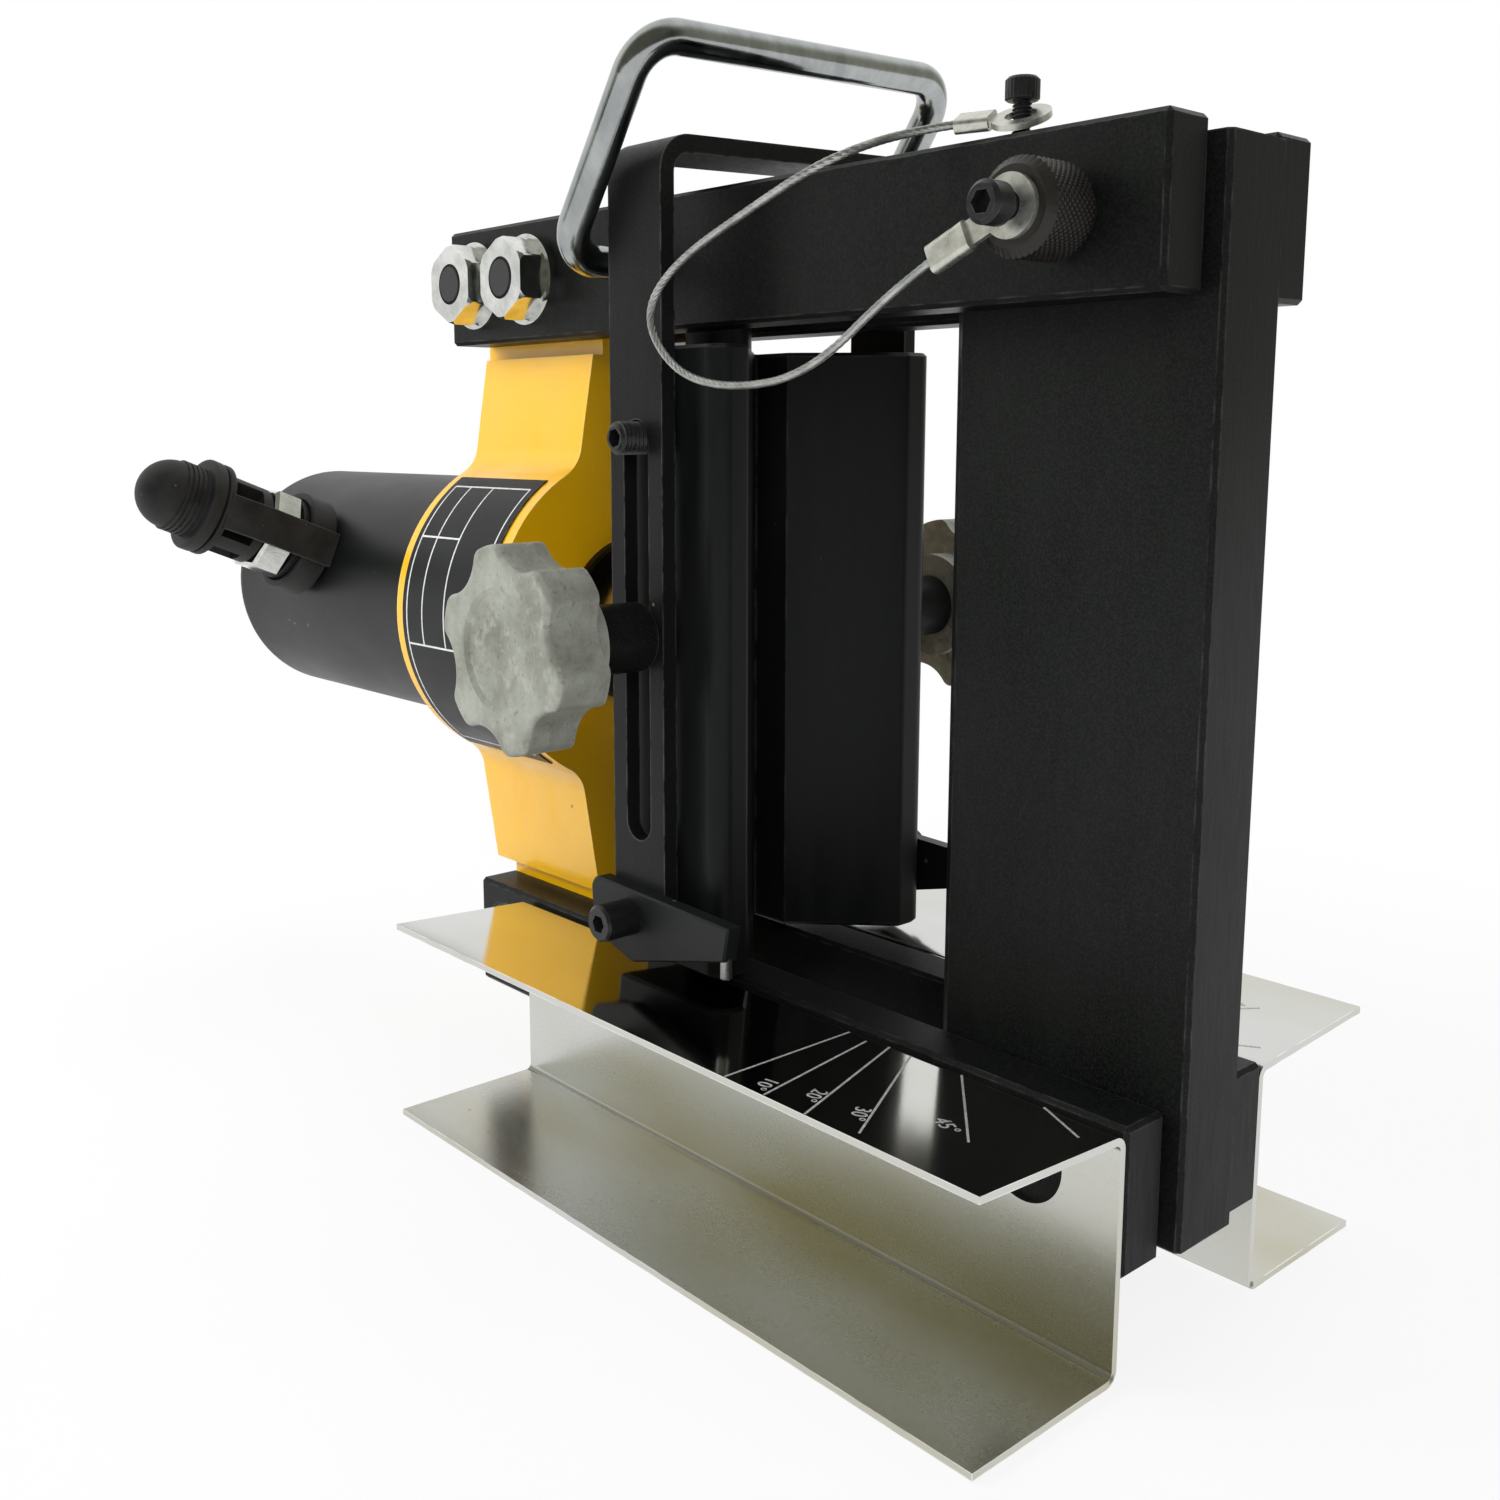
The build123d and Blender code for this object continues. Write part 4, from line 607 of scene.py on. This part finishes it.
# Vee die with its guide studs and screws: a tall steel block milled with a deep slot,
# black oxided, rubbed bright along the two lips that the busbar is pressed on.
die_black, tree, shader = start_finish("die_black", Specular_IOR_Level=0.15)
milled = grain(tree, 540.0, (1.0, 1.0, 0.10), 3.0)
run_off = grain(tree, 40.0, (1.0, 1.0, 0.22), 5.0)
rub = placed_group(tree, edge_wear_and_glint_group, {"Width": 0.0016, "Break up": 95.0, "Gain": 3.4})
dust = placed_group(tree, speck_group, {"Scale": 230.0, "Share": 0.05, "Size": 0.12})
coat = tint(tree, span(tree, run_off, 0.3, 0.7), (0.0050, 0.0056, 0.0058), (0.0150, 0.0158, 0.0155))
coat = tint(tree, figure(tree, "MULTIPLY", dust, 0.8), coat, (0.09, 0.09, 0.085))
coat = tint(tree, figure(tree, "MULTIPLY", rub, 0.55), coat, (0.22, 0.21, 0.20))
feed(tree, shader, Base_Color=coat, Roughness=span(tree, run_off, 0.3, 0.7, 0.28, 0.44),
     Metallic=figure(tree, "MULTIPLY", rub, 0.6), Normal=dimple(tree, milled, 0.12, 0.0003))
dress(die_black, "vee_die", "guide_studs")
dress(black_oxide, "die_screws")


# Strap with its pointers and needles: a 5 mm steel strip bent over the bars, black oxided.
# Each foot carries a cut plate and a bright needle that reads the scale below it.
dress(black_oxide, "strap", "spacers", "studs")
dress(satin_black, "pointer_front", "pointer_rear")

screw_black, tree, shader = start_finish("screw_black", Specular_IOR_Level=0.36)
rolled = grain(tree, 800.0, (1.0, 1.0, 1.0), 3.0)
rub = placed_group(tree, edge_wear_and_glint_group, {"Width": 0.0005, "Break up": 400.0, "Gain": 4.0})
steel = tint(tree, rolled, (0.008, 0.008, 0.009), (0.018, 0.018, 0.019))
steel = tint(tree, figure(tree, "MULTIPLY", rub, 0.6), steel, (0.18, 0.18, 0.17))
feed(tree, shader, Base_Color=steel, Roughness=span(tree, rolled, 0.3, 0.7, 0.26, 0.42),
     Metallic=figure(tree, "MULTIPLY", rub, 0.6), Normal=dimple(tree, rolled, 0.10, 0.0002))
dress(screw_black, "pointer_screws", "pull_screw")

needle_steel, tree, shader = start_finish("needle_steel", Metallic=1.0)
drawn_rod = grain(tree, 600.0, (1.0, 1.0, 0.2), 3.0)
feed(tree, shader, Base_Color=tint(tree, drawn_rod, (0.26, 0.26, 0.26), (0.48, 0.48, 0.47)),
     Roughness=span(tree, drawn_rod, 0.3, 0.7, 0.22, 0.36))
dress(needle_steel, "needles")


# Grub screws: 10 mm socket set screws with a rolled thread, one in each side of the die.
# They stand out of the strap's slot and stop the strap from dropping off.
SHARP_FROM = 38
CREST_SLOPE = 1.25


def turned_piece(name, centre, axis, rings, segments, finish):
    # Rings of points about an axis, each at its distance and with a radius for every angle
    axis = Vector(axis).normalized()
    side = axis.orthogonal().normalized()
    other = axis.cross(side)
    points, faces = [], []
    for distance, radius in rings:
        for step in range(segments):
            angle = 2 * math.pi * step / segments
            size = radius(angle) if callable(radius) else radius
            offset = side * math.cos(angle) + other * math.sin(angle)
            points.append((Vector(centre) + axis * distance + offset * size) * MM)
    for ring in range(len(rings) - 1):
        for step in range(segments):
            following = (step + 1) % segments
            a, b = ring * segments, (ring + 1) * segments
            faces.append((a + step, a + following, b + following, b + step))
    faces.append(tuple(reversed(range(segments))))
    faces.append(tuple(range((len(rings) - 1) * segments, len(rings) * segments)))
    piece = mesh_piece(name, points, faces, finish)
    piece.data.set_sharp_from_angle(angle=math.radians(SHARP_FROM))
    return piece


def hexagon(flats):
    # Radius of a hexagon socket at each angle
    def radius(angle):
        part = (angle + math.pi / 6) % (math.pi / 3) - math.pi / 6
        return flats / 2 / math.cos(part)
    return radius


def thread_rings(start, end, radius, pitch, depth, steps=8):
    # Rings down a rolled thread, where the crest winds once round for each pitch
    def ring(distance):
        def size(angle):
            phase = (distance / pitch - angle / (2 * math.pi)) % 1.0
            return radius - depth * min(1.0, CREST_SLOPE * abs(2 * phase - 1))
        return size
    count = max(2, int((end - start) / pitch * steps))
    return [(start + (end - start) * i / count, ring(start + (end - start) * i / count))
            for i in range(count + 1)]


GRUB_X, GRUB_Z = -34.25, 233.5
GRUB_RADIUS, GRUB_PITCH, GRUB_THREAD = 5.0, 1.5, 0.75
GRUB_OUT, GRUB_IN, GRUB_SOCKET, SOCKET_DEEP = 62.0, 46.3, 5.0, 5.0
GRUB_RIM, GRUB_LEAD_RADIUS, GRUB_LEAD, GRUB_THREAD_FROM = 3.4, 4.1, 0.7, 0.8
GRUB_SEGMENTS = 48
for name, side in (("grub_front", -1), ("grub_rear", 1)):
    face = [(SOCKET_DEEP, hexagon(GRUB_SOCKET)), (0.0, hexagon(GRUB_SOCKET)), (0.0, GRUB_RIM),
            (GRUB_LEAD, GRUB_LEAD_RADIUS)]
    grub_rings = face + thread_rings(GRUB_THREAD_FROM, GRUB_OUT - GRUB_IN, GRUB_RADIUS, GRUB_PITCH,
                                     GRUB_THREAD)
    grub = turned_piece(name, (GRUB_X, side * GRUB_OUT, GRUB_Z), (0, -side, 0), grub_rings,
                        GRUB_SEGMENTS, screw_black)
    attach(grub, "ram_set")
    if side < 0:
        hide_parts("grub_screws")


# Star knobs: die-cast lobed grips left raw and grey, screwed on the studs beside the strap.
# The casting skin is pitted and mottled, and the lobes are rubbed lighter on their edges.
raw_cast, tree, shader = start_finish("raw_cast", Specular_IOR_Level=0.4)
pits = grain(tree, 520.0, (1.0, 1.0, 1.0), 5.0)
flow = grain(tree, 70.0, (1.0, 1.0, 1.0), 6.0)
smear = grain(tree, 210.0, (1.0, 0.35, 1.0), 4.0)
rub = placed_group(tree, edge_wear_and_glint_group, {"Width": 0.0022, "Break up": 130.0, "Gain": 2.6})
skin = tint(tree, span(tree, flow, 0.32, 0.68), (0.235, 0.240, 0.196), (0.450, 0.466, 0.405))
skin = tint(tree, span(tree, smear, 0.52, 0.72, 0.0, 0.75), skin, (0.52, 0.52, 0.48))
skin = tint(tree, span(tree, pits, 0.60, 0.76, 0.0, 0.7), skin, (0.13, 0.125, 0.10))
skin = tint(tree, figure(tree, "MULTIPLY", rub, 0.5), skin, (0.60, 0.60, 0.57))
rough_cast = figure(tree, "ADD", pits, flow)
feed(tree, shader, Base_Color=skin, Roughness=span(tree, smear, 0.3, 0.7, 0.62, 0.42),
     Metallic=span(tree, smear, 0.3, 0.7, 0.25, 0.6), Normal=dimple(tree, rough_cast, 0.55, 0.0007))
dress(raw_cast, "knob_front", "knob_rear")


# Carrying handle: a 10 mm rod bent to a loop, its turned-in ends sprung into the top bars.
# It is bright plated, drawn along its length and a little hazy.
plated_rod, tree, shader = start_finish("plated_rod", Metallic=1.0)
haze = grain(tree, 120.0, (1.0, 1.0, 0.5), 5.0)
rub_marks = grain(tree, 420.0, (1.0, 1.0, 1.0), 4.0)
plate = tint(tree, span(tree, haze, 0.35, 0.65), (0.31, 0.33, 0.33), (0.44, 0.46, 0.455))
plate = tint(tree, span(tree, rub_marks, 0.64, 0.74, 0.0, 0.6), plate, (0.34, 0.35, 0.35))
feed(tree, shader, Base_Color=plate, Roughness=span(tree, haze, 0.3, 0.7, 0.11, 0.24),
     Normal=dimple(tree, rub_marks, 0.10, 0.0003))
dress(plated_rod, "handle")


# Pull pin: a turned pin with a knurled black grip, which holds the post in the top bars.
# A socket screw on its face holds the crimped lug of the lanyard.
dress(ground_steel, "pull_pin")
KNOB_X, KNOB_Z = 101.0, 285.6
KNURL_RADIUS, KNURL_DEPTH, KNURL_TEETH = 11.5, 0.34, 40
KNOB_FACE, KNOB_BACK, KNOB_EDGE = 51.3, 31.3, 1.8
KNOB_BORE, EDGE_DROP = 4.0, 0.4
NECK_RADIUS, NECK_LENGTH = 8.5, 3.0
KNURL_STEPS, KNURL_SEGMENTS = 66, 240


def knurl(distance):
    # Diamond pattern of two crossed sets of spiral grooves
    lead = KNURL_TEETH * distance / KNURL_RADIUS

    def radius(angle):
        left = abs(math.sin((KNURL_TEETH * angle + lead) / 2))
        right = abs(math.sin((KNURL_TEETH * angle - lead) / 2))
        return KNURL_RADIUS - KNURL_DEPTH * (1.0 - min(left, right))
    return radius


knurl_end = KNOB_FACE - KNOB_BACK - NECK_LENGTH - KNOB_EDGE
bevel_radius = KNURL_RADIUS - KNOB_EDGE - EDGE_DROP
grip = [(0.0, KNOB_BORE), (0.0, bevel_radius), (KNOB_EDGE, KNURL_RADIUS - KNURL_DEPTH)]
for step in range(KNURL_STEPS + 1):
    distance = KNOB_EDGE + 0.1 + (knurl_end - KNOB_EDGE - 0.2) * step / KNURL_STEPS
    grip.append((distance, knurl(distance)))
grip += [(knurl_end, KNURL_RADIUS - KNURL_DEPTH), (knurl_end + KNOB_EDGE, bevel_radius),
         (knurl_end + KNOB_EDGE, NECK_RADIUS), (KNOB_FACE - KNOB_BACK, NECK_RADIUS)]
grip_steel, tree, shader = start_finish("grip_steel", Specular_IOR_Level=0.36)
handled = grain(tree, 240.0, (1.0, 1.0, 1.0), 4.0)
rub = placed_group(tree, edge_wear_and_glint_group, {"Width": 0.0004, "Break up": 160.0, "Gain": 3.0})
steel = tint(tree, handled, (0.009, 0.008, 0.007), (0.022, 0.019, 0.016))
steel = tint(tree, figure(tree, "MULTIPLY", rub, 0.3), steel, (0.16, 0.15, 0.135))
feed(tree, shader, Base_Color=steel, Roughness=span(tree, handled, 0.3, 0.7, 0.30, 0.44),
     Metallic=figure(tree, "MULTIPLY", rub, 0.7))
pull_grip = turned_piece("pull_grip", (KNOB_X, -KNOB_FACE, KNOB_Z), (0, 1, 0), grip, KNURL_SEGMENTS,
                         grip_steel)
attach(pull_grip, "pull_set")
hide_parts("pull_knob")


# Lanyard lugs: tinned ring lugs crimped on the two ends of the wire rope.
# The lower one is under the pull pin's screw, the upper one under the bar's screw.
tinned, tree, shader = start_finish("tinned_lug", Metallic=0.85)
tin = grain(tree, 300.0, (1.0, 1.0, 1.0), 4.0)
rub = placed_group(tree, edge_wear_and_glint_group, {"Width": 0.0005, "Break up": 200.0, "Gain": 3.0})
plate = tint(tree, span(tree, tin, 0.35, 0.65), (0.50, 0.50, 0.44), (0.70, 0.70, 0.64))
plate = tint(tree, figure(tree, "MULTIPLY", rub, 0.5), plate, (0.85, 0.85, 0.80))
feed(tree, shader, Base_Color=plate, Roughness=span(tree, tin, 0.3, 0.7, 0.24, 0.42),
     Normal=dimple(tree, tin, 0.15, 0.0003))
dress(tinned, "lug_low", "lug_top")


# Lanyard screw: a small black socket screw in the top of the front bar.
# Its thread shows between the head and the bar, where it holds the upper lug.
SCREW_X, SCREW_Y = 80.6, -23.0
HEAD_TOP, HEAD_FOOT, SCREW_END = 320.8, 315.2, 293.6
HEAD_RADIUS, HEAD_ROUND, HEAD_SOCKET, HEAD_SOCKET_DEEP = 4.3, 0.6, 4.0, 3.0
SCREW_RADIUS, SCREW_PITCH, SCREW_THREAD = 2.48, 0.9, 0.5
HEAD_TEETH, TOOTH_DEPTH = 26, 0.16
SCREW_SEGMENTS = 104


def knurled_head(angle):
    # Straight knurl round the head of a socket screw
    return HEAD_RADIUS - TOOTH_DEPTH * (0.5 - 0.5 * math.cos(HEAD_TEETH * angle))


socket = hexagon(HEAD_SOCKET)
screw_rings = [(HEAD_SOCKET_DEEP, socket), (0.0, socket), (0.0, HEAD_RADIUS - HEAD_ROUND - 0.2),
               (HEAD_ROUND, HEAD_RADIUS - 0.2), (HEAD_ROUND + 0.2, knurled_head),
               (HEAD_TOP - HEAD_FOOT - 0.4, knurled_head), (HEAD_TOP - HEAD_FOOT, HEAD_RADIUS - 0.5),
               (HEAD_TOP - HEAD_FOOT, SCREW_RADIUS)]
screw_rings += thread_rings(HEAD_TOP - HEAD_FOOT + 0.1, HEAD_TOP - SCREW_END, SCREW_RADIUS, SCREW_PITCH,
                            SCREW_THREAD)
bar_screw = turned_piece("lanyard_bar_screw", (SCREW_X, SCREW_Y, HEAD_TOP), (0, 0, -1), screw_rings,
                         SCREW_SEGMENTS, screw_black)
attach(bar_screw, "frame")
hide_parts("lanyard_screw")


# Lanyard: galvanised wire rope of six strands, crimped in a lug at each end.
# It loops from the pull pin's face round to the screw on the bar and hangs by its own stiffness.
ROPE_ROUTE = [(0.08378, -0.05225, 0.27793), (0.06734, -0.05225, 0.27061), (0.042, -0.0575, 0.2495),
              (0.012, -0.0585, 0.2465), (-0.011, -0.059, 0.252), (-0.024, -0.059, 0.268),
              (-0.010, -0.059, 0.2815), (0.022, -0.058, 0.2935), (0.0495, -0.0595, 0.3015),
              (0.05347, -0.03174, 0.31139), (0.07068, -0.02647, 0.31139)]
ROPE_DIAMETER = 0.0022
STRANDS = 6
STRAND_LAY = 0.0125
ROPE_SEGMENTS = 36
STRAND_SINK, STRAND_CUT = 0.36, 1.6

route = bpy.data.curves.new("rope_route", "CURVE")
route.dimensions = "3D"
route.resolution_u = 36
line = route.splines.new("NURBS")
line.points.add(len(ROPE_ROUTE) - 1)
for point, position in zip(line.points, ROPE_ROUTE):
    point.co = (*position, 1.0)
line.order_u = 3
line.use_endpoint_u = True
guide = bpy.data.objects.new("rope_route", route)
bpy.context.scene.collection.objects.link(guide)
bpy.context.view_layer.update()
drawn = bpy.data.meshes.new_from_object(guide.evaluated_get(bpy.context.evaluated_depsgraph_get()))
rope_path = [vertex.co.copy() for vertex in drawn.vertices]
bpy.data.meshes.remove(drawn)
bpy.data.objects.remove(guide)


def swept(path, section):
    # A tube along a path; section gives the points across it at each length and turn of frame
    side = (path[1] - path[0]).orthogonal().normalized()
    points, faces, travelled = [], [], 0.0
    for i, centre in enumerate(path):
        ahead = (path[min(i + 1, len(path) - 1)] - path[max(i - 1, 0)]).normalized()
        side = (side - ahead * side.dot(ahead)).normalized()
        other = ahead.cross(side)
        if i:
            travelled += (centre - path[i - 1]).length
        across = section(travelled)
        points += [centre + side * u + other * v for u, v in across]
        count = len(across)
        if i:
            a, b = (i - 1) * count, i * count
            faces += [(a + k, a + (k + 1) % count, b + (k + 1) % count, b + k) for k in range(count)]
    faces.append(tuple(reversed(range(count))))
    faces.append(tuple(range(len(points) - count, len(points))))
    return points, faces


def strand_section(travelled):
    # Six round strands that wind round the rope once in each lay
    turn = 2 * math.pi * travelled / STRAND_LAY
    across = []
    for step in range(ROPE_SEGMENTS):
        angle = 2 * math.pi * step / ROPE_SEGMENTS
        bulge = abs(math.cos(STRANDS / 2 * (angle - turn)))
        radius = ROPE_DIAMETER / 2 * (1.0 - STRAND_SINK * (1.0 - bulge) ** STRAND_CUT)
        across.append((radius * math.cos(angle), radius * math.sin(angle)))
    return across


galvanised, tree, shader = start_finish("galvanised_wire", Metallic=0.9)
wires = grain(tree, 1600.0, (1.0, 1.0, 1.0), 2.0)
dulled = grain(tree, 160.0, (1.0, 1.0, 1.0), 3.0)
plate = tint(tree, span(tree, dulled, 0.35, 0.65), (0.34, 0.35, 0.33), (0.56, 0.57, 0.55))
feed(tree, shader, Base_Color=plate, Roughness=span(tree, wires, 0.3, 0.7, 0.28, 0.46),
     Normal=dimple(tree, wires, 0.35, 0.0002))
rope = mesh_piece("lanyard_rope", *swept(rope_path, strand_section), galvanised)
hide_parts("lanyard")
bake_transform(rope)


# Hose coupler: a zinc hexagon and a steel nipple screwed into the boss on the tube.
# The nipple shows through the windows of the rubber cap that keeps it clean.
dress(zinc_bright, "coupler_hex")
dark_nipple, tree, shader = start_finish("dark_nipple", Metallic=1.0)
oily = grain(tree, 160.0, (1.0, 1.0, 1.0), 4.0)
feed(tree, shader, Base_Color=tint(tree, oily, (0.045, 0.045, 0.045), (0.11, 0.11, 0.105)),
     Roughness=span(tree, oily, 0.3, 0.7, 0.24, 0.40))
dress(dark_nipple, "coupler_nipple")

moulded_rubber, tree, shader = start_finish("moulded_rubber", Specular_IOR_Level=0.26)
skin = grain(tree, 950.0, (1.0, 1.0, 1.0), 3.0)
bloom = grain(tree, 95.0, (1.0, 1.0, 1.0), 5.0)
rub = placed_group(tree, edge_wear_and_glint_group, {"Width": 0.0012, "Break up": 180.0, "Gain": 2.4})
dust = placed_group(tree, speck_group, {"Scale": 420.0, "Share": 0.10, "Size": 0.18})
rubber = tint(tree, span(tree, bloom, 0.35, 0.7), (0.013, 0.013, 0.013), (0.030, 0.030, 0.029))
rubber = tint(tree, figure(tree, "MULTIPLY", rub, 0.35), rubber, (0.075, 0.075, 0.073))
rubber = tint(tree, figure(tree, "MULTIPLY", dust, 0.7), rubber, (0.12, 0.12, 0.115))
feed(tree, shader, Base_Color=rubber, Roughness=span(tree, bloom, 0.3, 0.7, 0.48, 0.66),
     Normal=dimple(tree, skin, 0.14, 0.0003))
dress(moulded_rubber, "dust_cap")


# Cap leash: a moulded rubber strap with a loop on the boss and a ring behind the cap's collar.
# It keeps the cap with the machine, and stretches when the cap is drawn off.
PORT = Vector((-265.0, 0.0, 169.5))
PORT_RISE = math.radians(22.4)
PORT_AXIS = Vector((0.0, -math.cos(PORT_RISE), math.sin(PORT_RISE)))
PORT_SIDE = Vector((1.0, 0.0, 0.0))
PORT_UP = PORT_AXIS.cross(PORT_SIDE)
LOOP_IN, LOOP_OUT, LOOP_LOW, LOOP_HIGH = 17.35, 20.35, 48.5, 59.5
RING_IN, RING_OUT, RING_LOW, RING_HIGH = 15.55, 18.5, 92.35, 95.15
STRIP_WIDTH, STRIP_THICK = 14.0, 3.0
STRIP_LINE = [(21.1, 48.7), (21.1, 54.0), (21.1, 60.0), (21.1, 66.0), (21.1, 72.0), (21.1, 77.0),
              (20.7, 81.0), (20.0, 84.5), (19.0, 88.0), (18.1, 91.0), (17.5, 93.7)]
EDGE_ROUND = 0.7
STRIP_CUTS = 4
LEASH_SHARP = 50


def port_point(side, up, along):
    return (PORT + PORT_SIDE * side + PORT_UP * up + PORT_AXIS * along) * MM


def rounded_oblong(width, height, corner, steps=3):
    # Outline of a band's cross-section with rounded corners
    outline = []
    for cx, cy, start in ((1, 1, 0), (-1, 1, 90), (-1, -1, 180), (1, -1, 270)):
        for step in range(steps + 1):
            angle = math.radians(start + 90 * step / steps)
            outline.append((cx * (width / 2 - corner) + corner * math.cos(angle),
                            cy * (height / 2 - corner) + corner * math.sin(angle)))
    return outline


def moulded_ring(inner, outer, low, high, segments=72):
    outline = rounded_oblong(outer - inner, high - low, EDGE_ROUND)
    points, faces, count = [], [], len(outline)
    for step in range(segments):
        angle = 2 * math.pi * step / segments
        for u, v in outline:
            radius, along = (inner + outer) / 2 + u, (low + high) / 2 + v
            points.append(port_point(radius * math.cos(angle), radius * math.sin(angle), along))
        a, b = step * count, (step + 1) % segments * count
        faces += [(a + k, b + k, b + (k + 1) % count, a + (k + 1) % count) for k in range(count)]
    return points, faces


def moulded_strip(line, width, thick):
    outline = rounded_oblong(thick, width, EDGE_ROUND)
    points, faces, count = [], [], len(outline)
    fine = []
    for (x0, d0), (x1, d1) in zip(line, line[1:]):
        fine += [(x0 + (x1 - x0) * k / STRIP_CUTS, d0 + (d1 - d0) * k / STRIP_CUTS)
                 for k in range(STRIP_CUTS)]
    fine.append(line[-1])
    for i, (x, d) in enumerate(fine):
        (xa, da), (xb, db) = fine[max(i - 1, 0)], fine[min(i + 1, len(fine) - 1)]
        length = math.hypot(xb - xa, db - da)
        across = ((db - da) / length, -(xb - xa) / length)
        points += [port_point(x + across[0] * u, v, d + across[1] * u) for u, v in outline]
        if i:
            a, b = (i - 1) * count, i * count
            faces += [(a + k, a + (k + 1) % count, b + (k + 1) % count, b + k) for k in range(count)]
    faces.append(tuple(reversed(range(count))))
    faces.append(tuple(range(len(points) - count, len(points))))
    return points, faces


leash_parts = [moulded_ring(LOOP_IN, LOOP_OUT, LOOP_LOW, LOOP_HIGH),
               moulded_strip(STRIP_LINE, STRIP_WIDTH, STRIP_THICK),
               moulded_ring(RING_IN, RING_OUT, RING_LOW, RING_HIGH)]
leash = mesh_piece("cap_leash", *gathered(leash_parts), moulded_rubber)
leash.data.set_sharp_from_angle(angle=math.radians(LEASH_SHARP))
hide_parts("dust_leash")
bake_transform(leash)
